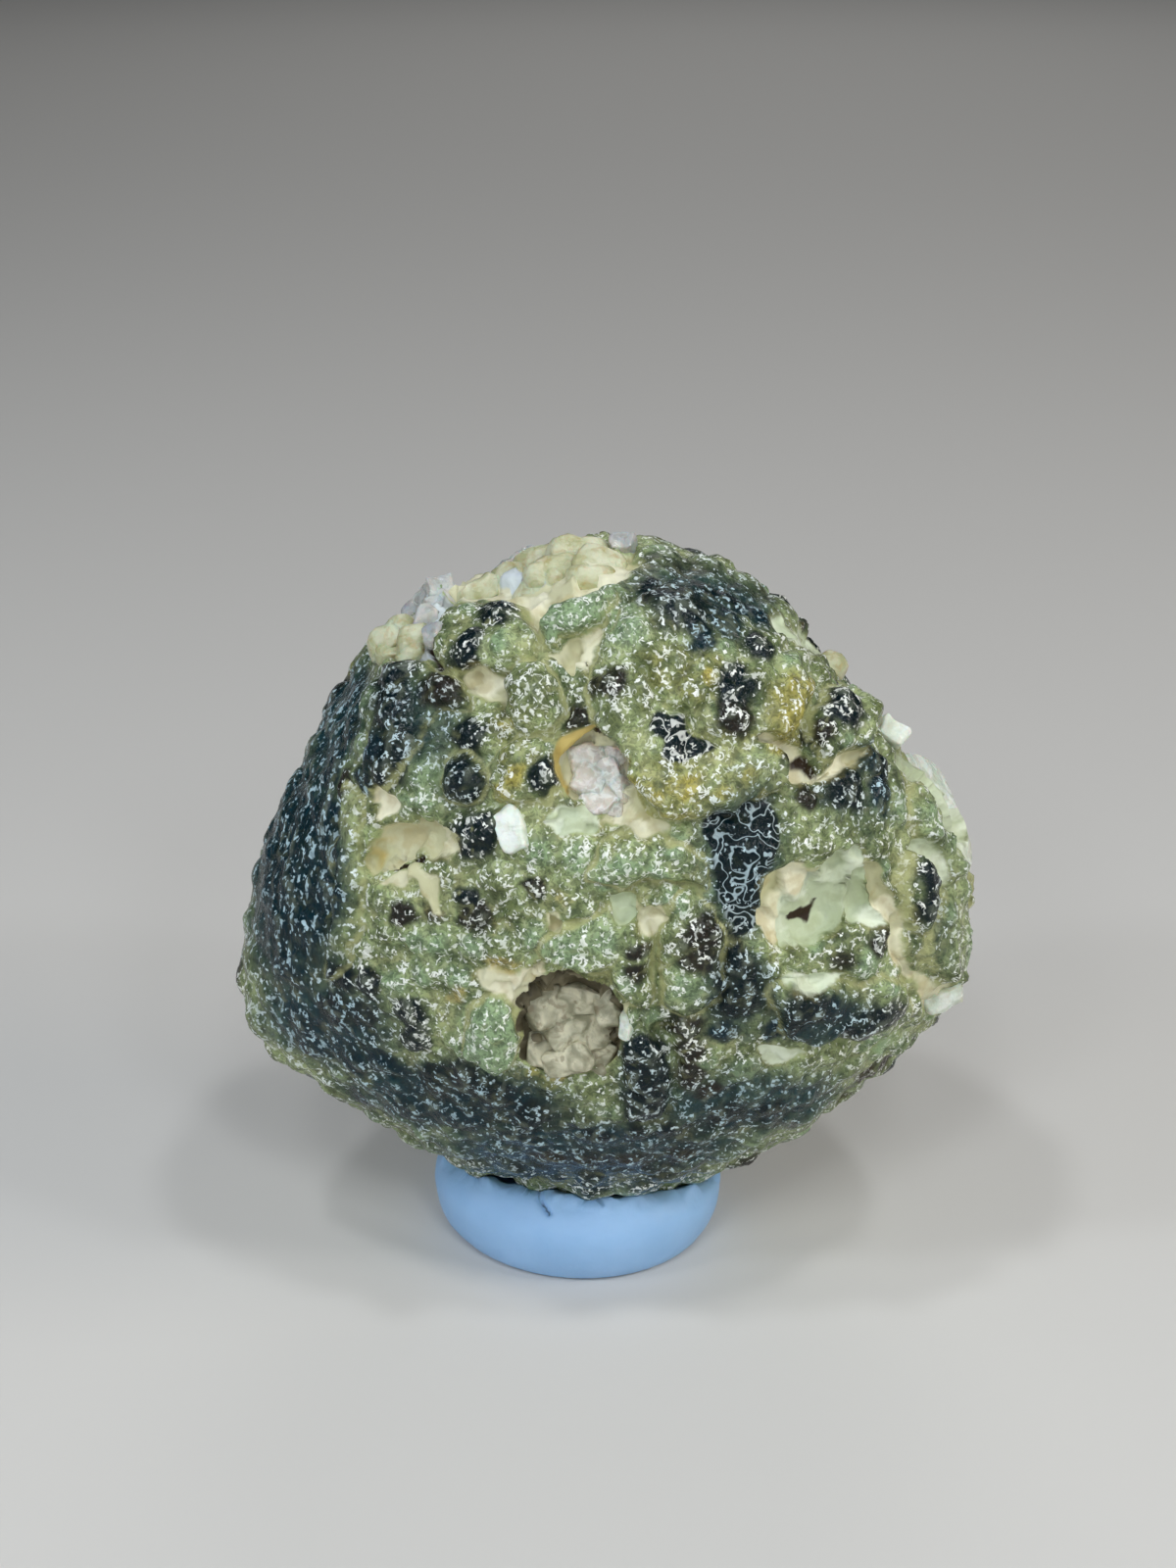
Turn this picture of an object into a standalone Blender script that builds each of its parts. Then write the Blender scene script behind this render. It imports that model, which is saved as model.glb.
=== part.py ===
"""A gobi agate nodule, standing in the blob of putty that holds it upright.

Units are metres and +Z is up. The stone's best face looks along -Y and a little up.
The origin is on the surface that the putty stands on, under the middle of the pair's box.
"""

import math

import bmesh
import bpy
from mathutils import Matrix, Vector, noise

MM = 0.001

# The stone as it is seen from in front and above. Places on its face are read in pixels of that
# view, x to the right and y down, and this is what one pixel is across at the stone's middle.
STONE_WIDTH = 56.0 * MM
OUTLINE_WIDTH_PX = 757.0
PIXEL = STONE_WIDTH / OUTLINE_WIDTH_PX
VIEW_MIDDLE_PX = Vector((600.0, 800.0))
FACE_MIDDLE_PX = Vector((617.0, 884.0))
VIEW_DISTANCE = 171.0 * MM
VIEW_PITCH = math.radians(25.0)

# The stone's edge in that view, clockwise from the top.
OUTLINE_PX = [
    (612, 541), (640, 542), (672, 550), (710, 558), (742, 568), (780, 591), (812, 611),
    (834, 636), (840, 658), (858, 684), (876, 716), (892, 738), (918, 750), (932, 768),
    (958, 785), (974, 815), (988, 850), (995, 885), (996, 925), (992, 975), (984, 1010),
    (968, 1044), (938, 1071), (900, 1101), (860, 1131), (820, 1157), (778, 1179), (740, 1197),
    (700, 1216), (650, 1227), (600, 1225), (540, 1212), (480, 1199), (440, 1183), (400, 1158),
    (350, 1131), (300, 1098), (270, 1076), (250, 1044), (240, 1004), (239, 958), (245, 900),
    (258, 858), (272, 820), (297, 780), (322, 739), (343, 700), (370, 661), (384, 642),
    (418, 626), (424, 600), (452, 580), (488, 566), (520, 559), (560, 549),
]

# How thick the stone is before and behind its edge, how far its top leans towards the viewer
# from the plane that faces them, and how boxy the section is: 2 is an ellipse, more is flatter.
DEPTH_FRONT = 18.5 * MM
DEPTH_BACK = 20.5 * MM
EDGE_LEAN = 0.22
BOXY_LEFT = 2.05
BOXY_RIGHT = 2.7
BOXY_BACK = 2.2

# The nicks in the outline fade out from the edge to the middle of the face, and sooner behind.
# There the outline is read as the mean over this angle each way.
BLUR_ANGLE = math.radians(32.0)
BLUR_STEPS = 4
FADE_FRONT = (0.12, 0.75)
FADE_BACK = (0.03, 0.42)

# The swells that the skin grew in, and the broad dents and rises of the unseen back.
SWELL_HEIGHT = 0.55 * MM
SWELL_LENGTH = 8.0 * MM
BACK_SWELL_HEIGHT = 2.3 * MM
BACK_SWELL_LENGTH = 17.0 * MM
BACK_SEED = Vector((3.1, 7.4, 1.9))

# The bare hollows in the face: middle, radius, depth.
HOLLOWS = {
    "crystal_vug": ((612, 792), 3.4 * MM, 1.5 * MM),
    "matrix_window": ((580, 1052), 4.3 * MM, 1.5 * MM),
    "cream_dish": ((842, 932), 5.6 * MM, 1.5 * MM),
    "cream_hollow": ((398, 868), 3.6 * MM, 1.0 * MM),
    "cracked_hollow": ((498, 694), 2.6 * MM, 0.9 * MM),
    "broken_top": ((500, 590), 5.6 * MM, 1.3 * MM),
    "bare_top": ((590, 668), 3.2 * MM, 0.7 * MM),
    "right_notch": ((822, 776), 2.6 * MM, 0.9 * MM),
}
GRID_CUTS = 25

# The putty: its plan, how high it stands round the stone, and what is left under the stone.
PUTTY_RADII = Vector((11.6 * MM, 10.3 * MM))
PUTTY_TURN = math.radians(-14.0)
PUTTY_HEIGHT = 8.6 * MM
PUTTY_BULGE_LEVEL = 3.9 * MM
PUTTY_FOOT_SHARE = 0.78
PUTTY_FOOT_RING = 0.9
PUTTY_MIDDLE = Vector((-2.0 * MM, -0.4 * MM))
UNDER_STONE = 2.4 * MM
GAP = 0.3 * MM

TO_VIEWER = Vector((0.0, -math.cos(VIEW_PITCH), math.sin(VIEW_PITCH)))
VIEW_UP = Vector((0.0, math.sin(VIEW_PITCH), math.cos(VIEW_PITCH)))
VIEW_RIGHT = Vector((1.0, 0.0, 0.0))


def clear_scene():
    for item in list(bpy.data.objects):
        bpy.data.objects.remove(item, do_unlink=True)


def new_collection(name, hidden=False):
    made = bpy.data.collections.new(name)
    made.hide_render = hidden
    bpy.context.scene.collection.children.link(made)
    return made


def move_to(item, collection):
    for holder in list(item.users_collection):
        holder.objects.unlink(item)
    collection.objects.link(item)


def make_material(name, colour, roughness):
    """A plain material: sRGB-like linear colour, no metal."""
    made = bpy.data.materials.new(name)
    made.use_nodes = True
    shader = made.node_tree.nodes["Principled BSDF"]
    shader.inputs["Base Color"].default_value = (*colour, 1.0)
    shader.inputs["Roughness"].default_value = roughness
    shader.inputs["Metallic"].default_value = 0.0
    return made


def smooth_step(low, high, value):
    share = min(1.0, max(0.0, (value - low) / (high - low)))
    return share * share * (3.0 - 2.0 * share)


def outline_radius(angle):
    """How far the outline is from the face's middle in the direction of angle, in pixels."""
    ray = Vector((math.cos(angle), -math.sin(angle)))
    for start, end in zip(OUTLINE_PX, OUTLINE_PX[1:] + OUTLINE_PX[:1]):
        a = Vector(start) - FACE_MIDDLE_PX
        b = Vector(end) - FACE_MIDDLE_PX
        edge = b - a
        across = ray.x * edge.y - ray.y * edge.x
        if abs(across) < 1e-9:
            continue
        along_ray = (a.x * edge.y - a.y * edge.x) / across
        along_edge = (a.x * ray.y - a.y * ray.x) / across
        if along_ray > 0 and 0.0 <= along_edge <= 1.0:
            return along_ray
    raise ValueError("the outline doesn't go round the face's middle")


def blurred_radius(angle):
    steps = range(-BLUR_STEPS, BLUR_STEPS + 1)
    return sum(outline_radius(angle + BLUR_ANGLE * i / BLUR_STEPS) for i in steps) / len(steps)


def in_view(pixel, depth):
    """The point that shows at a pixel and stands depth nearer to the viewer than the stone's middle."""
    offset = (pixel - VIEW_MIDDLE_PX) * PIXEL * (VIEW_DISTANCE - depth) / VIEW_DISTANCE
    return VIEW_RIGHT * offset.x - VIEW_UP * offset.y + TO_VIEWER * depth


def body_point(direction):
    """Where a direction from the stone's middle, given as right, up and towards the viewer, meets its skin."""
    side = math.hypot(direction.x, direction.y)
    angle = math.atan2(direction.y, direction.x)
    rightness = 0.5 + 0.5 * math.cos(angle)
    if direction.z > 0:
        boxy = BOXY_LEFT + (BOXY_RIGHT - BOXY_LEFT) * rightness
        thick = DEPTH_FRONT
        fade = FADE_FRONT
    else:
        boxy = BOXY_BACK
        thick = DEPTH_BACK
        fade = FADE_BACK
    size = (side**boxy + abs(direction.z) ** boxy) ** (1.0 / boxy)
    blur = smooth_step(*fade, abs(direction.z) / size)
    radius = outline_radius(angle) * (1.0 - blur) + blurred_radius(angle) * blur
    reach = radius * side / size
    pixel = FACE_MIDDLE_PX + Vector((math.cos(angle), -math.sin(angle))) * reach
    height = (FACE_MIDDLE_PX.y - pixel.y) * PIXEL
    depth = thick * direction.z / size + EDGE_LEAN * height
    return in_view(pixel, depth)


def pixel_of(point):
    """Where a point shows, in pixels."""
    depth = point.dot(TO_VIEWER)
    scale = VIEW_DISTANCE / (VIEW_DISTANCE - depth) / PIXEL
    return VIEW_MIDDLE_PX + Vector((point.dot(VIEW_RIGHT), -point.dot(VIEW_UP))) * scale


def hollow_depth(point, normal):
    """How deep the bare hollows of the face are at this point."""
    facing = normal.dot(TO_VIEWER)
    if facing < 0.1:
        return 0.0
    shown = pixel_of(point)
    depth = 0.0
    for middle, radius, deepest in HOLLOWS.values():
        away = (shown - Vector(middle)).length * PIXEL / radius
        if away < 1.0:
            depth = max(depth, deepest * (1.0 - away * away) ** 1.5)
    return depth


def build_nodule(collection):
    """The stone, from a cube cut into a fine grid and rounded to a ball."""
    bpy.ops.mesh.primitive_cube_add(size=2.0)
    nodule = bpy.context.object
    nodule.name = nodule.data.name = "nodule"
    move_to(nodule, collection)
    shape = bmesh.new()
    shape.from_mesh(nodule.data)
    bmesh.ops.subdivide_edges(shape, edges=shape.edges[:], cuts=GRID_CUTS, use_grid_fill=True)
    for vertex in shape.verts:
        # The tangent spaces the grid evenly over the ball.
        evened = Vector(math.tan(c * math.pi / 4.0) for c in vertex.co)
        vertex.co = body_point(evened.normalized())
    shape.normal_update()
    if shape.calc_volume(signed=True) < 0:
        bmesh.ops.reverse_faces(shape, faces=shape.faces[:])
    shape.normal_update()
    moves = []
    for vertex in shape.verts:
        swell = noise.noise(vertex.co / SWELL_LENGTH) * SWELL_HEIGHT
        behind = smooth_step(0.1, 0.8, -vertex.normal.dot(TO_VIEWER))
        broad = noise.noise(vertex.co / BACK_SWELL_LENGTH + BACK_SEED) * BACK_SWELL_HEIGHT * behind
        moves.append(vertex.normal * (swell + broad - hollow_depth(vertex.co, vertex.normal)))
    for vertex, move in zip(shape.verts, moves):
        vertex.co += move
    bmesh.ops.triangulate(shape, faces=shape.faces[:])
    shape.to_mesh(nodule.data)
    shape.free()
    nodule.data.shade_smooth()
    nodule.data.materials.append(make_material("agate_skin", (0.16, 0.20, 0.10), 0.25))
    return nodule


def bounds(item):
    points = [v.co for v in item.data.vertices]
    low = Vector(min(p[i] for p in points) for i in range(3))
    high = Vector(max(p[i] for p in points) for i in range(3))
    return low, high


def shift_mesh(item, offset):
    item.data.transform(Matrix.Translation(offset))
    item.data.update()


def build_putty(collection, cutters, nodule):
    """The blob: a ball flattened on the table and pressed in by the stone."""
    bpy.ops.mesh.primitive_uv_sphere_add(segments=40, ring_count=20, radius=1.0)
    putty = bpy.context.object
    putty.name = putty.data.name = "putty"
    move_to(putty, collection)
    turn = Matrix.Rotation(PUTTY_TURN, 3, "Z")
    for vertex in putty.data.vertices:
        up = vertex.co.z
        rim = math.sqrt(max(0.0, 1.0 - up * up))
        flat = Vector((vertex.co.x, vertex.co.y, 0.0))
        if flat.length > 0:
            flat.normalize()
        if up < 0:
            # Under the bulge the side runs in to a flat foot.
            foot = PUTTY_FOOT_SHARE + (1.0 - PUTTY_FOOT_SHARE) * rim
            in_foot = up <= -PUTTY_FOOT_RING
            reach = foot * rim / math.sqrt(1.0 - PUTTY_FOOT_RING**2) if in_foot else foot
            level = 0.0 if in_foot else PUTTY_BULGE_LEVEL * (1.0 + up / PUTTY_FOOT_RING)
        else:
            reach = rim
            level = PUTTY_BULGE_LEVEL + (PUTTY_HEIGHT - PUTTY_BULGE_LEVEL) * up
        spread = turn @ Vector((flat.x * PUTTY_RADII.x, flat.y * PUTTY_RADII.y, 0.0)) * reach
        vertex.co = Vector((spread.x + PUTTY_MIDDLE.x, spread.y + PUTTY_MIDDLE.y, level))
    press = nodule.copy()
    press.data = nodule.data.copy()
    press.name = "stone_press"
    move_to(press, cutters)
    press.hide_render = True
    press.display_type = "WIRE"
    grow = press.modifiers.new("clearance", "DISPLACE")
    grow.mid_level = 0.0
    grow.strength = GAP
    cut = putty.modifiers.new("pressed_in", "BOOLEAN")
    cut.operation = "DIFFERENCE"
    cut.solver = "EXACT"
    cut.object = press
    putty.data.shade_smooth()
    putty.data.materials.append(make_material("blue_putty", (0.30, 0.42, 0.62), 0.55))
    return putty


def main():
    clear_scene()
    parts = new_collection("gobi_agate_nodule")
    cutters = new_collection("cutters", hidden=True)
    nodule = build_nodule(parts)
    low, high = bounds(nodule)
    # The stone goes to its height over the table, with the middle of its box over the origin.
    middle = Vector((-(low.x + high.x) / 2, -(low.y + high.y) / 2, UNDER_STONE - low.z))
    shift_mesh(nodule, middle)
    print("the middle of the stone's face is at %.6f,%.6f,%.6f" % tuple(middle))
    build_putty(parts, cutters, nodule)


main()
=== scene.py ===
# %% [markdown]
# # A gobi agate nodule, held up by a blob of putty
#
# The real object is a fist of chalcedony that desert wind and sand have polished. Its skin is
# olive green and a little see-through, and it is wrinkled all over into ridges less than a
# millimetre apart. Blue-black knobs stand on it like blisters, and between them lie smooth cream
# hollows, a broken corner of quartz and one window on to the brown rock that it grew in.
#
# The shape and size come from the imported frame, which stays as it is. This lesson models the
# looks: one finely gridded skin that is wrapped on to the frame's stone and sculpted, small
# crystals and flakes set into it, and the putty. Everything is in metres. The noise that bends
# borders takes its offsets from a seed, so the seed is set first, and each run gives the same stone.

# %% The frame, the units and the seed
import math
from functools import partial

import bpy
import numpy as np
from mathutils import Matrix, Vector, kdtree, noise
from mathutils.bvhtree import BVHTree


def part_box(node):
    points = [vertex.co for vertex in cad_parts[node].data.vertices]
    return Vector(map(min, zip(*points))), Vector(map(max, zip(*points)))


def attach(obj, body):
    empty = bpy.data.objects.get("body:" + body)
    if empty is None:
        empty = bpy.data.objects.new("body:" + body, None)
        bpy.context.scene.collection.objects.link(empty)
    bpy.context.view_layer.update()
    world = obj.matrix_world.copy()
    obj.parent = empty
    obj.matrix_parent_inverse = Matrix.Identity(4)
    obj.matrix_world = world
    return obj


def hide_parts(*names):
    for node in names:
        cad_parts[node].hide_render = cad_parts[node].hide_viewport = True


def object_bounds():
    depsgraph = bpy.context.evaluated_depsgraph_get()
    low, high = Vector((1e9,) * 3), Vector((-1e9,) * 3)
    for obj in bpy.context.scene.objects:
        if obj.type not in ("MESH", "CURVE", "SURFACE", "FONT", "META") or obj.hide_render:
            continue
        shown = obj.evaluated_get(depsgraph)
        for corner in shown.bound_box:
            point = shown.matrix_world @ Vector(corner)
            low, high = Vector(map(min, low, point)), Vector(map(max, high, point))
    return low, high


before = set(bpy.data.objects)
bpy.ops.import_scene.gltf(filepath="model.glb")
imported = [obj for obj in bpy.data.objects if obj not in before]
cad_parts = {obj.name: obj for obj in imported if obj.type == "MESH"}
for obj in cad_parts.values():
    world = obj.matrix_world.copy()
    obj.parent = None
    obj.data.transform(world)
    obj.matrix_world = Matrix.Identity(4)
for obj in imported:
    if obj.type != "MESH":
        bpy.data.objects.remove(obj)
cad_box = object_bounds()
MM = 0.001
WARP_SEED = 7
noise.seed_set(WARP_SEED)
print("the frame holds", sorted(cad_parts))

# %% [markdown]
# ## The view that the stone's face is read in
#
# Most of what shows on the face is put there by its place in the picture, in pixels of a frame
# 1200 wide and 1600 high. So the camera comes first: it looks down by 25 degrees from a hand's
# breadth away, and one pixel is 0.074 mm at the stone's middle. Sizes stay in millimetres.

# %% The camera
PIXEL = 56.0 * MM / 757.0
PICTURE_MIDDLE = np.array((600.0, 800.0))
FACE_MIDDLE = np.array((-1.12, 1.45, 37.64)) * MM
VIEW_DISTANCE = 171.0 * MM
VIEW_PITCH = math.radians(25.0)
LENS = 52.0
TO_VIEWER = np.array((0.0, -math.cos(VIEW_PITCH), math.sin(VIEW_PITCH)))
VIEW_UP = np.array((0.0, math.sin(VIEW_PITCH), math.cos(VIEW_PITCH)))
VIEW_RIGHT = np.array((1.0, 0.0, 0.0))

scene = bpy.context.scene
camera_data = bpy.data.cameras.new("camera")
camera_data.lens = LENS
camera_data.clip_start = 10.0 * MM
camera = bpy.data.objects.new("camera", camera_data)
camera.location = FACE_MIDDLE + TO_VIEWER * VIEW_DISTANCE
camera.rotation_euler = Vector(-TO_VIEWER).to_track_quat("-Z", "Y").to_euler()
scene.collection.objects.link(camera)
scene.camera = camera
print("the camera is at", [round(c / MM, 1) for c in camera.location], "mm")

# %% [markdown]
# ## Small helpers
#
# Operators act on all that is selected, and the frame's nodes come in selected, so each step
# begins with nothing selected. Colours are written as sRGB hex, as a colour picker shows them,
# and turned to the linear values that the shaders work in.

# %% Helpers for objects, colours and nodes
def select_only(item):
    bpy.ops.object.select_all(action="DESELECT")
    item.select_set(True)
    bpy.context.view_layer.objects.active = item


def apply_modifiers(item):
    select_only(item)
    for modifier in list(item.modifiers):
        bpy.ops.object.modifier_apply(modifier=modifier.name)


def linear(hex_colour):
    """An sRGB hex colour as linear red, green, blue and alpha."""
    parts = [int(hex_colour[i:i + 2], 16) / 255.0 for i in (1, 3, 5)]
    return [p / 12.92 if p <= 0.04045 else ((p + 0.055) / 1.055) ** 2.4 for p in parts] + [1.0]


def add_node(tree, kind, inputs=None, **settings):
    """Adds a node and gives its first output. Inputs are numbers, hex colours, or sockets to link."""
    node = tree.nodes.new("ShaderNode" + kind)
    for name, value in settings.items():
        setattr(node, name, value)
    for name, value in (inputs or {}).items():
        if isinstance(value, bpy.types.NodeSocket):
            tree.links.new(value, node.inputs[name])
        else:
            node.inputs[name].default_value = linear(value) if isinstance(value, str) else value
    return next(output for output in node.outputs if output.enabled)


def new_material(name):
    made = bpy.data.materials.new(name)
    made.use_nodes = True
    return made, made.node_tree, made.node_tree.nodes["Principled BSDF"]


# %% [markdown]
# ## The floor and the light
#
# A plain pale floor stands in for a studio table. The skin glitters from end to end, which a
# single lamp can't do: each tiny wrinkle shows a glint only where it faces halfway to a lamp. So
# two rings of small soft lamps surround the lens, brighter above it than below, so that the knobs
# are shaded on their undersides. A panel on each side and a pale world fill the shadows.

# %% The studio
FLOOR_SIZE = 4.0
bpy.ops.object.select_all(action="DESELECT")
bpy.ops.mesh.primitive_plane_add(size=FLOOR_SIZE, location=(0.0, 0.0, -0.02 * MM))
floor = bpy.context.object
floor.name = "floor"
floor_material, _, floor_shader = new_material("pale_table_lacquer")
floor_shader.inputs["Base Color"].default_value = linear("#d6d4cf")
floor_shader.inputs["Roughness"].default_value = 0.75
floor.data.materials.append(floor_material)


def add_panel(name, size, power, place, target, colour="#ffffff"):
    """A round soft box at a place, in metres, that faces a target."""
    light = bpy.data.lights.new(name, "AREA")
    light.shape = "DISK"
    light.size = size
    light.energy = power
    light.color = linear(colour)[:3]
    item = bpy.data.objects.new(name, light)
    item.location = place
    item.rotation_euler = (Vector(target) - Vector(place)).to_track_quat("-Z", "Y").to_euler()
    scene.collection.objects.link(item)
    return item


STONE_MIDDLE = np.array((0.0, 0.0, 30.0)) * MM
RING_TILT = 0.05
RINGS = {"inner": (0.36, 0.13, 7, 0.060, 0.75, 0.7), "outer": (0.28, 0.34, 8, 0.050, 1.35, 1.0)}
for ring, (distance, radius, lamps, lamp_size, power, from_above) in RINGS.items():
    for number in range(lamps):
        turn = 2 * math.pi * (number + 0.5) / lamps
        share = (1.0 + from_above * math.cos(turn)) / lamps
        place = (FACE_MIDDLE + TO_VIEWER * distance + VIEW_UP * (RING_TILT + radius * math.cos(turn))
                 + VIEW_RIGHT * radius * math.sin(turn))
        add_panel("%s_lamp_%d" % (ring, number), lamp_size, power * share, place, STONE_MIDDLE, "#f6faff")
add_panel("left_panel", 0.28, 0.45, (-0.62, -0.25, 0.42), STONE_MIDDLE, "#cfe2ff")
add_panel("right_panel", 0.28, 1.25, (0.66, -0.15, 0.40), STONE_MIDDLE, "#fff4e6")
add_panel("back_panel", 0.60, 1.2, (0.10, 0.85, 0.60), STONE_MIDDLE)
world = bpy.data.worlds.new("pale_room")
world.use_nodes = True
world.node_tree.nodes["Background"].inputs["Color"].default_value = linear("#e4eaf2")
world.node_tree.nodes["Background"].inputs["Strength"].default_value = 0.07
scene.world = world
scene.view_settings.view_transform = "Standard"

# %% [markdown]
# ## The skin's grid
#
# The skin needs a fine and even grid, as a sculptor's clay does. A cube whose faces are cut into
# squares and then rounded to a ball has no poles. It is turned to face the viewer, and its points
# are drawn a little towards that side, where the finest shapes are, which keeps the squares
# square. A remesh would be even too, but it can't be denser on one side.

# %% A ball of squares
FIRST_CUTS = 2
SECOND_CUTS = 42
BALL_RADIUS = 60.0 * MM
DRAW_TO_FRONT = 0.70

bpy.ops.object.select_all(action="DESELECT")
bpy.ops.mesh.primitive_cube_add(size=2.0)
skin = bpy.context.object
skin.name = skin.data.name = "nodule_skin"
bpy.ops.object.mode_set(mode="EDIT")
bpy.ops.mesh.select_all(action="SELECT")
bpy.ops.mesh.subdivide(number_cuts=FIRST_CUTS)
bpy.ops.mesh.subdivide(number_cuts=SECOND_CUTS)
bpy.ops.object.mode_set(mode="OBJECT")


def get_points(item):
    flat = np.empty(len(item.data.vertices) * 3)
    item.data.vertices.foreach_get("co", flat)
    return flat.reshape(-1, 3)


def set_points(item, points):
    item.data.vertices.foreach_set("co", points.astype(np.float32).ravel())
    item.data.update()


def get_normals(item):
    flat = np.empty(len(item.data.vertices) * 3, np.float32)
    item.data.vertex_normals.foreach_get("vector", flat)
    return flat.reshape(-1, 3).astype(float)


low, high = (np.array(corner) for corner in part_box("nodule"))
ball_middle = (low + high) / 2
cube = np.tan(get_points(skin) * math.pi / 4)
ball = cube / np.linalg.norm(cube, axis=1, keepdims=True)
flat_map = ball[:, :2] / (1.0 + np.maximum(ball[:, 2:], -0.9999)) * DRAW_TO_FRONT
spread = (flat_map**2).sum(axis=1, keepdims=True)
ball = np.hstack((2 * flat_map, 1 - spread)) / (1 + spread)
set_points(skin, ball_middle + BALL_RADIUS * (ball @ np.array((VIEW_RIGHT, VIEW_UP, TO_VIEWER))))
skin.data.shade_smooth()
print("the skin's grid has", len(skin.data.vertices), "points")

# %% [markdown]
# ## Wrapping the grid on the stone
#
# The frame's stone is made of loose triangles about 1.7 mm wide. A copy of it is merged, turned
# back to quads and subdivided, so that it is smooth. The ball is then shrunk on to the copy
# along its own normals and relaxed a little.

# %% Wrap and relax
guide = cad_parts["nodule"].copy()
guide.data = guide.data.copy()
guide.parent = None
guide.name = "smooth_guide"
scene.collection.objects.link(guide)
select_only(guide)
bpy.ops.object.mode_set(mode="EDIT")
bpy.ops.mesh.select_all(action="SELECT")
bpy.ops.mesh.remove_doubles(threshold=0.001 * MM)
bpy.ops.mesh.tris_convert_to_quads()
bpy.ops.object.mode_set(mode="OBJECT")
rounding = guide.modifiers.new("rounding", "SUBSURF")
rounding.levels = rounding.render_levels = 2
apply_modifiers(guide)

wrap = skin.modifiers.new("wrap", "SHRINKWRAP")
wrap.target = guide
wrap.wrap_method = "PROJECT"
wrap.use_negative_direction = True
wrap.use_positive_direction = False
relax = skin.modifiers.new("relax", "SMOOTH")
relax.factor = 0.5
relax.iterations = 8
apply_modifiers(skin)
bpy.data.objects.remove(guide)
base = get_points(skin)
base_normal = get_normals(skin)
edge_ends = base[np.array([edge.vertices[:] for edge in skin.data.edges])]
edges = np.linalg.norm(edge_ends[:, 1] - edge_ends[:, 0], axis=1)
print("grid spacing from %.2f to %.2f mm" % (edges.min() / MM, edges.max() / MM))

# %% [markdown]
# ## Reading a place in the picture
#
# A mark on the face is given by the pixel where it shows. A ray from the camera through that
# pixel finds its place on the stone, so that from there on sizes and distances are real ones and
# a mark stays round when it is seen from the side.

# %% From pixels to the stone and back
stone_tree = BVHTree.FromPolygons(base.tolist(), [p.vertices[:] for p in skin.data.polygons])
EYE = FACE_MIDDLE + TO_VIEWER * VIEW_DISTANCE


def pixels_of(points):
    """Where points show in the picture, in pixels, x to the right and y down."""
    offset = points - FACE_MIDDLE
    scale = VIEW_DISTANCE / (VIEW_DISTANCE - offset @ TO_VIEWER) / PIXEL
    return PICTURE_MIDDLE + np.stack((offset @ VIEW_RIGHT * scale, -(offset @ VIEW_UP) * scale), axis=1)


def on_stone(pixel, tree=stone_tree):
    """The place on the stone that shows at a pixel, and its normal."""
    offset = (np.array(pixel) - PICTURE_MIDDLE) * PIXEL
    ray = VIEW_RIGHT * offset[0] - VIEW_UP * offset[1] - TO_VIEWER * VIEW_DISTANCE
    place, normal, _, _ = tree.ray_cast(Vector(EYE), Vector(ray).normalized())
    if place is None:
        place, normal, _, _ = tree.find_nearest(Vector(EYE + ray))
    return np.array(place), np.array(normal)


def ease(low, high, value):
    """0 below low, 1 above high, and smooth between."""
    share = np.clip((value - low) / (high - low), 0.0, 1.0)
    return share * share * (3.0 - 2.0 * share)


def field(points, size, seed=0.0):
    """Smooth noise from about -1 to 1, with bumps about size wide."""
    return np.array([noise.noise(p) for p in (points / size + seed).tolist()])


def warp(points, size, amount, seed=0.0):
    """The points, each pushed about by noise, which makes straight borders wander."""
    push = np.array([noise.noise_vector(p) for p in (points / size + seed).tolist()])
    return points + push * amount


base_pixel = pixels_of(base)
facing = base_normal @ TO_VIEWER
wandering = warp(base, 3.0 * MM, 0.60 * MM, 4.7)
wandering = warp(wandering, 1.1 * MM, 0.38 * MM, 9.1)
wandering_pixel = pixels_of(wandering)
print("points that face the viewer:", int((facing > 0).sum()))

# %% [markdown]
# ## The knobs of the skin
#
# The skin grew as many small knobs, each 2 to 5 mm wide, that run into each other. A knob of the
# face is given by the pixel at its middle and its radius in millimetres, in groups named for the
# colour inside it. The rest of the stone gets knobs of the same sizes from a fixed seed.

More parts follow.
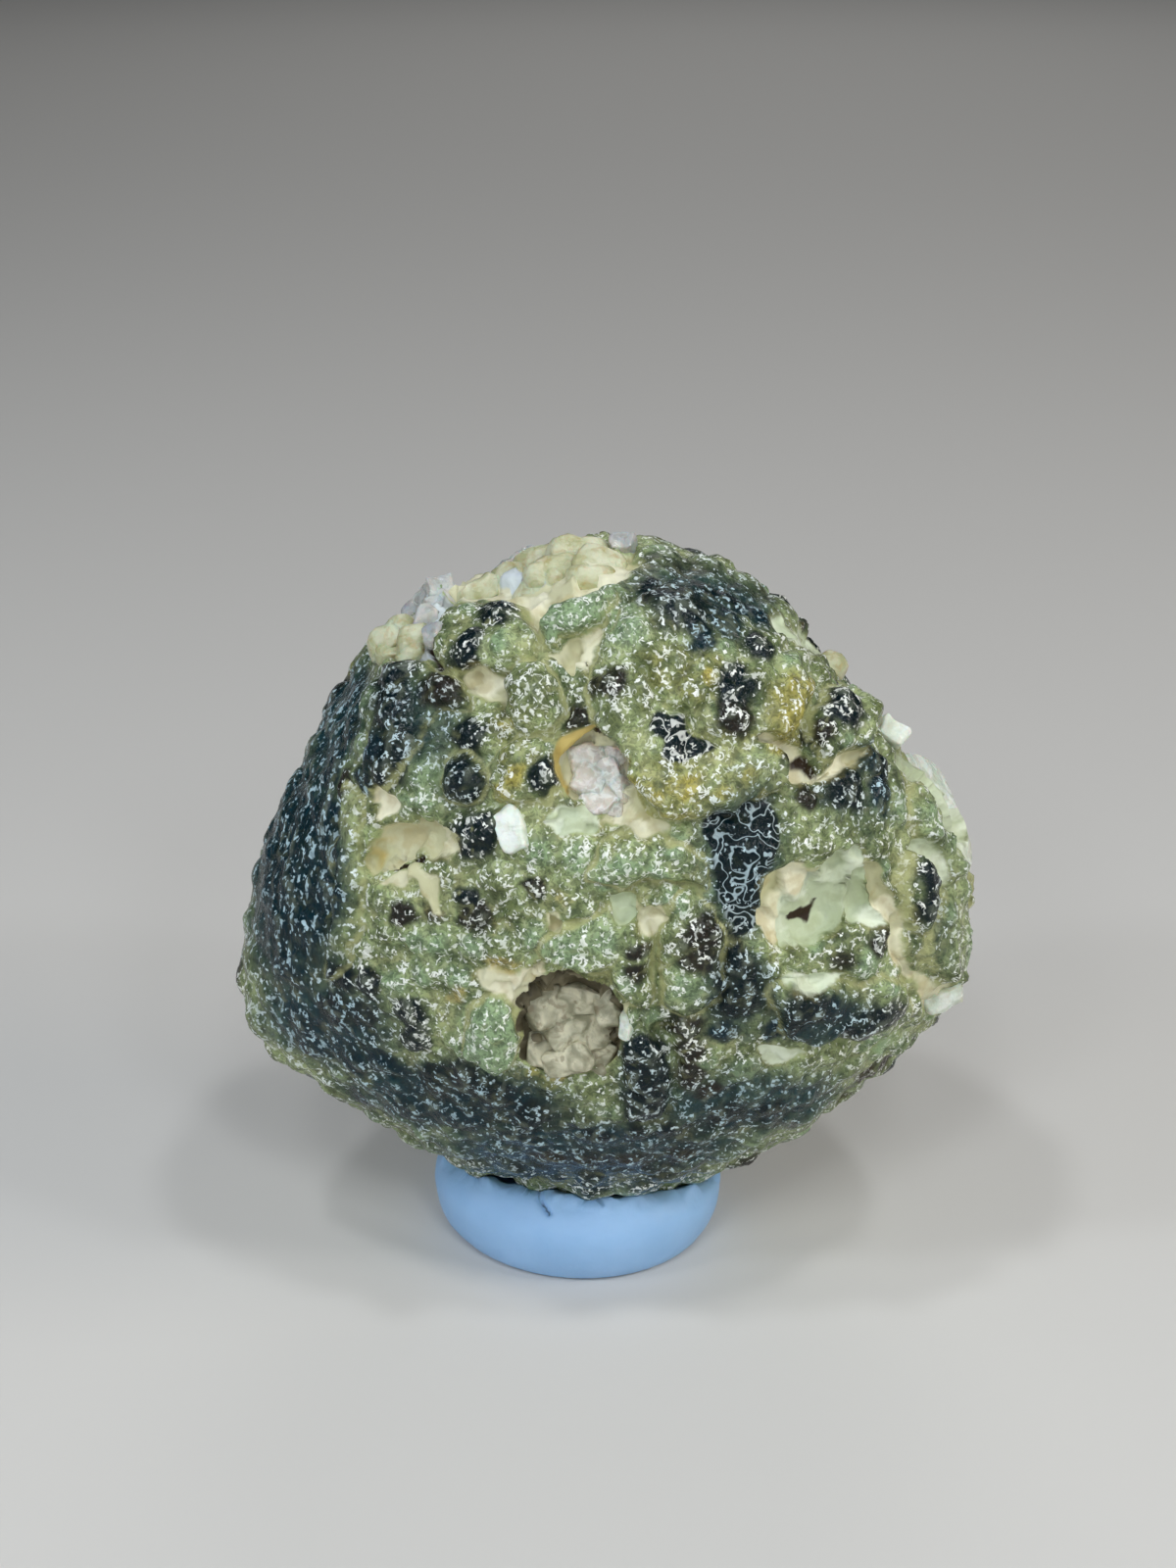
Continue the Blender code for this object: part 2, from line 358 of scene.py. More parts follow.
# %% The knobs of the face, by the colour inside them
KNOBS = {
    "dark": [(511, 630, 2.0), (479, 661, 1.5), (482, 676, 0.9), (404, 690, 1.9), (398, 722, 1.9),
        (405, 755, 1.8), (396, 785, 1.7), (470, 792, 2.0), (486, 800, 1.3), (474, 748, 1.5),
        (560, 797, 1.4), (479, 856, 2.1), (694, 628, 2.3), (664, 590, 1.2), (720, 592, 1.2),
        (750, 602, 1.3), (767, 663, 1.4), (743, 690, 1.2), (750, 708, 1.4), (857, 722, 2.1),
        (868, 806, 1.9), (905, 784, 1.4), (943, 893, 1.7), (944, 922, 1.6), (752, 1000, 1.9),
        (756, 1025, 2.2), (824, 1024, 2.1), (808, 1042, 1.4), (880, 1046, 2.3), (903, 1034, 1.8),
        (420, 1040, 1.7), (421, 1062, 1.3), (659, 1080, 1.9), (659, 1108, 2.0), (655, 1132, 1.7),
        (686, 1162, 1.3), (652, 1164, 1.5), (608, 1172, 1.4), (745, 1146, 1.5), (788, 1142, 1.3),
        (470, 915, 1.0), (369, 1007, 1.6), (340, 1002, 1.4), (470, 1105, 2.0), (500, 1122, 2.0),
        (440, 1110, 1.8), (540, 1150, 1.8), (730, 594, 1.0)],
    "teal": [(384, 762, 1.6), (370, 790, 1.4), (322, 832, 1.9), (300, 862, 1.9), (330, 872, 1.7),
        (285, 902, 2.0), (318, 908, 1.9), (272, 946, 2.0), (305, 948, 2.0), (340, 922, 1.6),
        (285, 988, 2.0), (310, 1072, 1.8), (350, 1088, 1.8), (300, 1046, 1.6), (385, 1088, 1.7),
        (460, 1150, 1.9), (530, 1170, 1.8), (345, 742, 1.4), (330, 778, 1.6), (352, 700, 1.3),
        (365, 1130, 1.5), (410, 1140, 1.7), (890, 772, 1.5), (905, 806, 1.5), (735, 640, 1.6),
        (712, 655, 1.3), (780, 620, 1.4), (740, 1061, 1.2), (800, 1058, 1.3), (850, 1030, 1.5)],
    "brown": [(452, 700, 2.0), (620, 701, 1.3), (586, 727, 1.3), (747, 737, 1.5), (838, 752, 1.3),
        (798, 778, 1.0), (715, 953, 1.7), (715, 980, 1.6), (704, 1053, 1.6), (706, 1078, 1.3),
        (479, 940, 1.6), (545, 908, 1.1), (440, 868, 1.2), (436, 932, 1.0), (829, 812, 1.2),
        (651, 970, 1.0), (651, 994, 0.9), (903, 965, 1.3), (866, 984, 1.1), (345, 800, 1.4),
        (335, 1035, 1.8), (365, 1045, 1.5), (664, 612, 1.1), (640, 1195, 1.8), (560, 1190, 1.8),
        (700, 1186, 1.5), (600, 1196, 1.7), (405, 935, 1.1), (706, 1100, 1.5), (725, 1118, 1.2)],
    "olive": [(541, 706, 2.4), (500, 735, 1.4), (530, 750, 1.6), (515, 775, 1.5), (625, 732, 1.7),
        (650, 712, 1.5), (720, 680, 1.6), (700, 700, 1.5), (845, 775, 1.2), (845, 872, 1.5),
        (905, 858, 1.4), (508, 905, 1.7), (690, 962, 1.4), (870, 965, 1.5), (860, 1084, 1.4),
        (830, 1088, 1.3), (350, 965, 1.6), (385, 960, 1.4), (600, 702, 1.3), (655, 675, 1.5),
        (690, 670, 1.3), (790, 650, 1.4), (440, 655, 1.3), (455, 632, 1.2), (800, 830, 1.2),
        (845, 840, 1.3), (870, 845, 1.3), (950, 965, 1.3), (560, 1115, 1.4), (440, 735, 1.3),
        (600, 1120, 1.6), (262, 1018, 1.2), (690, 740, 1.2), (770, 700, 1.4), (820, 860, 1.3),
        (895, 835, 1.3)],
    "green": [(575, 632, 1.9), (605, 618, 1.6), (620, 600, 1.6), (640, 650, 2.0), (640, 622, 1.7),
        (430, 788, 1.9), (432, 822, 1.5), (408, 826, 1.3), (550, 872, 1.5), (590, 880, 1.8),
        (640, 880, 1.9), (620, 905, 1.4), (420, 963, 1.6), (445, 968, 1.7), (480, 970, 1.4),
        (495, 1052, 2.3), (510, 1078, 1.7), (578, 968, 2.2), (545, 962, 1.5), (612, 960, 1.7),
        (402, 1010, 1.6), (425, 1000, 1.3), (700, 1010, 1.8), (688, 920, 1.6), (640, 1000, 1.3),
        (780, 970, 1.3), (890, 985, 1.5), (985, 955, 1.5), (955, 850, 1.5), (925, 820, 1.5),
        (945, 835, 1.2), (980, 880, 1.3), (760, 1100, 1.6), (710, 1147, 1.5), (735, 665, 1.2),
        (800, 680, 1.3), (470, 1075, 1.4), (530, 1062, 1.3), (690, 860, 1.7), (650, 850, 1.3),
        (720, 1090, 1.2), (900, 820, 1.2), (970, 935, 1.2), (985, 910, 1.2), (820, 1000, 1.2),
        (850, 1008, 1.2), (912, 1005, 1.4), (670, 890, 1.4)],
    "yellow": [(812, 728, 1.4), (798, 749, 1.3), (822, 702, 1.2), (785, 768, 1.3), (716, 692, 1.1),
        (652, 800, 1.1), (672, 812, 1.1), (702, 800, 1.6), (735, 806, 1.3), (765, 798, 1.3),
        (645, 782, 0.9), (800, 706, 1.2), (775, 820, 1.0), (700, 1098, 0.9), (512, 812, 1.3),
        (530, 790, 1.3), (540, 1100, 1.0), (515, 735, 1.1)],
}

# %% Places for the other knobs
FIRST_SEED = 11
RULE_RADII = (0.9, 2.3)
RULE_SHARES = {"dark": 0.21, "teal": 0.16, "brown": 0.12, "olive": 0.28, "green": 0.19, "yellow": 0.04}
PATCH_SIZE = 8.0 * MM
SHARE_DRIFT = 3.2
LEAST_SHARE = 0.02
FACE_RIM = 0.12
TRIES = 9000
CROWDING = 0.80

random = np.random.RandomState(FIRST_SEED)
knobs = [(on_stone((x, y))[0], radius * MM, kind)
         for kind, places in KNOBS.items() for x, y, radius in places]
hand_placed = len(knobs)
middles, radii = [knob[0] for knob in knobs], [knob[1] for knob in knobs]
for index in random.permutation(len(base))[:TRIES]:
    place, radius = base[index], random.uniform(*RULE_RADII) * MM
    if np.all(np.linalg.norm(np.array(middles) - place, axis=1) > CROWDING * (np.array(radii) + radius)):
        middles.append(place)
        radii.append(radius)
        drift = [1.0 + SHARE_DRIFT * noise.noise(Vector(place / PATCH_SIZE + 7.7 * number))
                 for number in range(len(RULE_SHARES))]
        shares = np.array(list(RULE_SHARES.values())) * np.maximum(LEAST_SHARE, drift)
        kind = random.choice(list(RULE_SHARES), p=shares / shares.sum())
        if facing[index] >= FACE_RIM:
            kind = random.choice(["olive", "green"])
        knobs.append((place, radius, kind))
print("knobs:", hand_placed, "by hand and", len(knobs) - hand_placed, "by rule")

# %% [markdown]
# ## Raising the knobs
#
# Each knob lifts a round hump and tints the skin inside it, most in its middle. Where humps meet
# they are joined softly, by a power mean, so that they flow together as melted wax does and don't
# look like cobbles. All shapes are kept as sums and masks until the skin is sculpted at the end.

# %% Humps and their colours
MASKS = (
    "dark", "teal", "brown", "olive", "green", "yellow", "cream", "white", "tan", "rock", "sugar", "ochre",
    "crack", "deep", "bare", "maze", "crest", "valley", "chip", "combed",
)
HUMP_SHARE = {"dark": 0.45, "teal": 0.36, "brown": 0.38, "olive": 0.42, "green": 0.42, "yellow": 0.32}
HUMP_REACH = 1.3
DARK_KINDS = ("dark", "teal", "brown")
DARK_CORE, PALE_CORE, CORE_EDGE = 0.35, 0.15, 0.7
SOFT_JOIN = 2.2
mask = {name: np.zeros(len(base)) for name in MASKS}
joined = np.zeros(len(base))
point_tree = kdtree.KDTree(len(base))
for index, point in enumerate(wandering.tolist()):
    point_tree.insert(point, index)
point_tree.balance()


def points_within(place, reach):
    """The indexes of the points within reach of a place, and their distances as shares of reach."""
    found = point_tree.find_range(place, reach)
    return np.array([f[1] for f in found], int), np.array([f[2] for f in found]) / reach


def keep_most(kind, touched, values):
    """Raises a mask at some of the points, where it is less than these values."""
    mask[kind][touched] = np.maximum(mask[kind][touched], values)


for place, radius, kind in knobs:
    touched, share = points_within(place, HUMP_REACH * radius)
    joined[touched] += (radius * HUMP_SHARE[kind] * (1.0 - share**2) ** 2) ** SOFT_JOIN
    core = DARK_CORE if kind in DARK_KINDS else PALE_CORE
    keep_most(kind, touched, 1.0 - ease(core, core + CORE_EDGE, share))
hump = joined ** (1.0 / SOFT_JOIN)
print("the highest hump is %.2f mm" % (hump.max() / MM))

# %% [markdown]
# ## Blocks, bare patches, grooves
#
# The face is also broken into blocks that stand a little proud of each other. Where flakes have
# spalled off, the inside of the stone shows: smooth cream chalcedony with no wrinkles. Blocks and
# patches are outlines in the picture, rounded to a smooth curve, with a height or a depth.
# Grooves are lines with a width and a depth.

# %% Distances to outlines and lines
MARGIN = 60.0
CURVE_STEPS = 4


def curve_through(points, closed=False):
    """A smooth curve through points, as more points."""
    points = np.array(points, float)
    ends = (points[-1:], points[:2]) if closed else (points[:1], points[-1:])
    padded = np.vstack((ends[0], points, ends[1]))
    curve = []
    for before, start, end, after in zip(padded, padded[1:], padded[2:], padded[3:]):
        for t in np.arange(CURVE_STEPS) / CURVE_STEPS:
            curve.append(0.5 * (2 * start + (end - before) * t
                                + (2 * before - 5 * start + 4 * end - after) * t**2
                                + (3 * start - before - 3 * end + after) * t**3))
    return np.array(curve + [points[0] if closed else points[-1]])


def line_distance(points, line):
    """How far each point is from a chain of points, and its place along it from 0 to 1."""
    best = np.full(len(points), 1e9)
    along = np.zeros(len(points))
    for number, (start, end) in enumerate(zip(line[:-1], line[1:])):
        run = end - start
        share = np.clip(((points - start) @ run) / (run @ run + 1e-9), 0.0, 1.0)
        distance = np.linalg.norm(points - start - share[:, None] * run, axis=1)
        closer = distance < best
        along = np.where(closer, number + share, along)
        best = np.where(closer, distance, best)
    return best, along / (len(line) - 1)


def outline_depth(points, outline):
    """How far each point is inside a closed outline; below 0 is outside."""
    distance = line_distance(points, outline)[0]
    within = np.zeros(len(points), bool)
    for start, end in zip(outline[:-1], outline[1:]):
        crosses = (start[1] > points[:, 1]) != (end[1] > points[:, 1])
        slope = (end[0] - start[0]) / (end[1] - start[1] + 1e-9)
        within ^= crosses & (points[:, 0] < start[0] + (points[:, 1] - start[1]) * slope)
    return np.where(within, distance, -distance)


def near(line, least_facing=0.0):
    """The points of the face near a line or outline in the picture."""
    low_corner, high_corner = np.min(line, axis=0) - MARGIN, np.max(line, axis=0) + MARGIN
    boxed = np.all((base_pixel > low_corner) & (base_pixel < high_corner), axis=1)
    return np.nonzero(boxed & (facing > least_facing))[0]


# %% The blocks: tint or none, height and softness of the edge in mm, outline
BLOCKS = {
    "split_dome": (None, 0.55, 1.0, [(436, 663), (437, 650), (448, 633), (464, 618), (482, 610),
        (505, 606), (525, 611), (539, 628), (547, 648), (546, 662), (528, 673), (508, 689), (484, 687),
        (457, 680)]),
    "olive_dome": (None, 0.5, 0.9, [(512, 722), (511, 700), (518, 682), (536, 672), (556, 674),
        (570, 688), (573, 712), (566, 736), (544, 748), (524, 742)]),
    "top_dome": ("green", 0.5, 0.8, [(550, 654), (554, 630), (574, 612), (600, 604), (626, 606),
        (618, 626), (600, 640), (574, 648)]),
    "left_shoulder": (None, 0.4, 0.9, [(384, 676), (404, 668), (430, 672), (456, 684), (478, 700),
        (472, 720), (440, 726), (424, 760), (400, 800), (372, 800), (366, 740)]),
    "eye_block": (None, 0.35, 1.0, [(446, 778), (462, 764), (486, 770), (500, 790), (492, 812),
        (468, 818), (450, 804)]),
    "middle_field": (None, 0.35, 1.2, [(500, 764), (530, 748), (560, 756), (578, 778), (580, 802),
        (556, 818), (520, 824), (500, 800)]),
    "plateau": (None, 0.75, 0.7, [(604, 752), (600, 712), (612, 660), (640, 620), (690, 590), (750, 620),
        (800, 660), (832, 700), (818, 740), (790, 760), (806, 778), (806, 800), (780, 818), (735, 832),
        (690, 838), (662, 826), (648, 806), (640, 784), (626, 764)]),
    "notch_knob": (None, 0.6, 0.8, [(836, 762), (832, 730), (842, 704), (862, 696), (884, 712),
        (896, 738), (888, 758), (866, 772), (848, 776)]),
    "dark_field": ("dark", 0.05, 0.45, [(722, 836), (750, 826), (786, 822), (801, 846), (799, 868),
        (786, 892), (776, 924), (772, 952), (757, 962), (744, 944), (732, 912), (726, 874)]),
    "dark_foot": ("dark", 0.05, 0.6, [(738, 950), (760, 964), (771, 1000), (778, 1036), (756, 1042),
        (733, 1034), (734, 990)]),
    "dark_wedge": ("dark", 0.1, 0.4, [(664, 726), (684, 728), (702, 742), (720, 754), (725, 768),
        (706, 776), (686, 772), (672, 752)]),
    "dark_slab": ("dark", 0.3, 0.5, [(640, 1070), (660, 1062), (682, 1068), (684, 1100), (680, 1140),
        (658, 1148), (638, 1138), (637, 1100)]),
    "left_lens": (None, 0.4, 0.8, [(640, 930), (664, 952), (666, 1000), (664, 1034), (640, 1026),
        (618, 1004), (592, 992), (570, 992), (552, 972), (560, 950), (600, 940)]),
    "right_lens": (None, 0.4, 0.8, [(676, 936), (700, 906), (726, 928), (738, 962), (738, 1010),
        (726, 1036), (700, 1040), (680, 1032), (674, 980)]),
    "round_lens": (None, 0.35, 0.9, [(600, 900), (618, 862), (650, 846), (690, 856), (718, 880),
        (722, 912), (696, 900), (664, 908), (634, 912)]),
    "low_lens": (None, 0.55, 0.8, [(786, 1036), (792, 1010), (824, 1004), (870, 1006), (905, 1000),
        (930, 1012), (930, 1040), (900, 1062), (860, 1068), (812, 1064)]),
    "far_knob": (None, 0.6, 0.7, [(930, 874), (942, 868), (956, 884), (962, 912), (958, 946), (944, 956),
        (930, 940), (926, 905)]),
    "right_wall": (None, 0.5, 0.7, [(936, 800), (960, 812), (980, 850), (992, 890), (994, 950),
        (984, 1002), (956, 1000), (948, 970), (968, 930), (966, 890), (948, 860), (932, 830)]),
    "green_dome": ("green", 0.5, 1.0, [(470, 1048), (484, 1030), (505, 1024), (524, 1036), (532, 1060),
        (524, 1086), (500, 1096), (476, 1084)]),
    "left_ridge": (None, 0.45, 0.9, [(352, 800), (366, 830), (356, 870), (362, 920), (350, 980),
        (322, 1000), (330, 930), (334, 850)]),
}

# %% The bare patches: colour, depth and softness of the rim in mm, outline
PATCHES = {
    "cream_hollow": ("cream", 1.2, 0.4, [(362, 878), (368, 866), (386, 852), (412, 848), (436, 850),
        (458, 852), (464, 872), (448, 880), (428, 878), (406, 882), (384, 886), (368, 888)]),
    "hollow_ledge": ("cream", 0.1, 0.3, [(378, 900), (408, 892), (436, 889), (448, 905), (446, 934),
        (434, 930), (424, 906), (400, 904)]),
    "slit_triangle": ("cream", 0.8, 0.4, [(472, 690), (492, 682), (509, 690), (511, 716), (494, 708)]),
    "bare_triangle": ("cream", 0.6, 0.35, [(558, 660), (580, 652), (610, 634), (606, 660), (602, 684),
        (586, 680), (570, 668)]),
    "broken_corner": ("sugar", 0.5, 0.5, [(380, 645), (398, 634), (418, 626), (424, 600), (440, 590),
        (456, 598), (452, 614), (438, 636), (434, 664), (405, 664), (384, 658)]),
    "broken_top": ("cream", 0.6, 0.6, [(448, 582), (488, 566), (520, 558), (560, 549), (600, 547),
        (644, 550), (644, 572), (616, 588), (590, 604), (560, 622), (550, 644), (538, 622), (510, 602),
        (470, 606)]),
    "pale_oval": ("white", -0.3, 0.6, [(556, 838), (562, 824), (578, 818), (600, 818), (614, 832),
        (612, 848), (596, 856), (572, 856)]),
    "under_vug": ("cream", 0.3, 0.5, [(616, 842), (628, 826), (641, 804), (652, 828), (684, 844),
        (656, 852), (640, 846)]),
    "vug": ("cream", 1.3, 0.35, [(584, 770), (602, 755), (622, 764), (634, 786), (641, 802), (626, 824),
        (612, 832), (600, 812), (584, 802)]),
    "golden_rim": ("ochre", 0.2, 0.3, [(566, 766), (574, 752), (600, 742), (603, 754), (592, 768),
        (584, 782), (588, 804), (578, 800)]),
    "notch_left": ("cream", 0.6, 0.4, [(772, 756), (786, 752), (804, 762), (810, 780), (800, 790),
        (794, 770)]),
    "notch_groove": ("cream", 0.8, 0.4, [(808, 760), (820, 766), (834, 784), (860, 778), (886, 762),
        (880, 778), (852, 794), (824, 794), (812, 780)]),
    "dish_left": ("cream", 0.8, 0.6, [(782, 905), (800, 892), (826, 888), (840, 900), (832, 918),
        (818, 934), (806, 956), (790, 960), (778, 934)]),
    "cream_dish": ("white", 1.3, 0.5, [(812, 914), (838, 896), (862, 876), (873, 884), (875, 906),
        (866, 936), (850, 956), (828, 968), (806, 962), (804, 936)]),
    "dish_peak": ("white", 0.5, 0.3, [(868, 884), (878, 862), (888, 876), (891, 900), (880, 904),
        (872, 900)]),
    "dish_facet": ("white", 0.9, 0.35, [(874, 906), (890, 904), (902, 926), (910, 950), (892, 950),
        (872, 940)]),
    "star_hole": ("crack", 1.3, 0.2, [(820, 937), (827, 933), (829, 926), (833, 932), (844, 930),
        (838, 937), (836, 947), (831, 941), (824, 943)]),
    "right_groove": ("cream", 0.8, 0.4, [(892, 878), (908, 900), (924, 926), (934, 954), (934, 986),
        (946, 1006), (938, 1014), (920, 992), (916, 960), (904, 932), (894, 906)]),
    "right_facet": ("white", 0.5, 0.35, [(938, 866), (956, 862), (970, 880), (972, 906), (960, 888)]),
    "white_chip": ("white", 0.1, 0.25, [(620, 926), (638, 918), (646, 932), (632, 946)]),
    "white_fork": ("cream", 0.4, 0.25, [(644, 926), (656, 936), (674, 928), (676, 942), (668, 960),
        (658, 960), (652, 944)]),
    "window_fin": ("cream", 0.1, 0.25, [(626, 1030), (640, 1026), (640, 1050), (630, 1058)]),
    "window": ("rock", 1.4, 0.3, [(537, 1024), (560, 1003), (600, 1004), (628, 1026), (632, 1060),
        (626, 1082), (600, 1090), (562, 1099), (540, 1086), (531, 1054)]),
    "window_cream": ("cream", 0.2, 0.6, [(478, 1000), (500, 994), (530, 996), (560, 990), (556, 1006),
        (538, 1022), (532, 1042), (518, 1030), (496, 1020)]),
    "pale_scar": ("white", 0.2, 0.5, [(776, 1080), (794, 1074), (820, 1080), (806, 1092), (786, 1094)]),
    "white_band": ("white", 0.4, 0.6, [(796, 1004), (814, 996), (850, 1000), (872, 1000), (850, 1010),
        (816, 1014)]),
    "right_lobe": ("cream", -0.3, 0.6, [(944, 1006), (962, 1004), (980, 1008), (972, 1030),
        (954, 1038)]),
    "dome_rim": ("white", 0.2, 0.5, [(792, 618), (812, 628), (838, 650), (838, 668), (822, 656),
        (806, 640)]),
    "shell_rim": ("white", 0.3, 0.4, [(922, 766), (944, 766), (968, 786), (990, 830), (1000, 884),
        (986, 880), (972, 838), (952, 800), (932, 790)]),
    "top_quartz": ("sugar", 0.1, 0.4, [(504, 574), (518, 559), (546, 556), (553, 570), (538, 584),
        (514, 584)]),
    "small_cream": ("cream", 0.2, 0.4, [(556, 930), (572, 928), (574, 942), (560, 946)]),
    "flank_cream": ("cream", 0.3, 0.4, [(374, 806), (386, 800), (398, 812), (404, 832), (388, 838),
        (384, 818)]),
}
BEHIND_THE_EDGE = {"shell_rim": -0.08, "dome_rim": -0.2, "broken_top": -0.35, "broken_corner": -0.3}

# %% Grooves: colour, width and depth in mm, line
GROOVES = {
    "middle_groove": ("tan", 0.45, 0.7, [(666, 944), (667, 990), (669, 1034), (681, 1058), (690, 1090)]),
    "hollow_slit": ("crack", 0.3, 0.6, [(400, 886), (412, 887), (428, 884)]),
    "slit": ("crack", 0.3, 1.4, [(509, 690), (513, 702), (511, 718)]),
    "corner_crack": ("crack", 0.4, 0.7, [(434, 654), (438, 668)]),
    "notch_hole": ("crack", 0.3, 0.5, [(826, 780), (836, 783)]),
    "top_hole": ("crack", 0.45, 0.8, [(483, 598), (492, 597)]),
    # A real groove along the vug's right side, whose dark crack tint is a painted shadow.
    "vug_shadow": ("crack", 0.35, 0.8, [(606, 752), (626, 764), (637, 782), (641, 800)]),
    "plateau_foot": ("tan", 0.45, 0.4, [(645, 806), (660, 828), (690, 842), (735, 836), (790, 818)]),
    "dish_fold": ("cream", 0.5, 0.35, [(868, 900), (858, 920), (846, 930)]),
    "dish_crease": ("cream", 0.5, 0.30, [(850, 888), (842, 908), (846, 924)]),
    "dish_edge": ("tan", 0.25, 0.3, [(879, 912), (898, 914), (912, 930)]),
    "lower_edge": ("tan", 0.35, 0.5, [(800, 994), (830, 994), (870, 998)]),
    "fork_left": ("tan", 0.35, 0.3, [(600, 944), (640, 941), (661, 950)]),
    "lens_top": ("tan", 0.3, 0.35, [(640, 922), (650, 908), (672, 900), (700, 904)]),
    "lens_right": ("tan", 0.3, 0.25, [(700, 904), (722, 928), (738, 962), (740, 1000)]),
    "middle_line": ("tan", 0.35, 0.4, [(690, 1080), (693, 1100), (686, 1130), (680, 1150)]),
    "olive_edge": ("tan", 0.3, 0.35, [(514, 722), (530, 744), (550, 752), (572, 740)]),
    "olive_right": ("tan", 0.3, 0.3, [(573, 740), (575, 712), (572, 688), (556, 672)]),
    "top_edge": ("tan", 0.35, 0.35, [(550, 656), (552, 632), (572, 612), (604, 602)]),
    "long_crease": ("tan", 0.3, 0.3, [(424, 742), (446, 754), (470, 764), (500, 768)]),
    "eye_crease": ("tan", 0.35, 0.35, [(446, 766), (442, 790), (448, 812), (470, 824), (500, 826),
        (524, 830)]),
    "diagonal_crease": ("tan", 0.3, 0.3, [(532, 908), (518, 930), (496, 946), (480, 958)]),
    "low_left_crease": ("tan", 0.3, 0.3, [(424, 962), (414, 984), (396, 998), (368, 1000)]),
    "green_edge": ("tan", 0.3, 0.35, [(530, 1050), (524, 1036), (505, 1026), (484, 1032), (470, 1048)]),
    "shelf_foot": ("crack", 0.5, 0.5, [(986, 1022), (974, 1050), (940, 1078), (902, 1106), (864, 1134)]),
    "shelf_top": ("tan", 0.4, 0.4, [(960, 1040), (925, 1064), (884, 1088), (850, 1112)]),
    "lens_foot": ("tan", 0.35, 0.45, [(778, 1046), (800, 1066), (840, 1072), (890, 1068), (926, 1048)]),
    "dome_crease": ("tan", 0.3, 0.25, [(604, 690), (636, 682), (662, 700), (664, 726)]),
    "triangle_foot": ("tan", 0.3, 0.3, [(602, 684), (604, 716), (602, 752)]),
    "wedge_right": ("tan", 0.25, 0.25, [(662, 716), (690, 726), (716, 742), (728, 764)]),
    "knob_left": ("tan", 0.45, 0.5, [(838, 700), (830, 726), (832, 756), (842, 776)]),
    "chip_crease": ("tan", 0.3, 0.3, [(556, 952), (580, 944), (604, 944)]),
    "window_top": ("tan", 0.35, 0.35, [(556, 1000), (584, 992), (612, 1000), (636, 1022)]),
}

# %% [markdown]
# ## Broad washes of colour
#
# Under the knobs the stone is tinted over wider stretches: blue-green down the left flank, dull
# and dark along the bottom, yellow on the raised part right of the middle.

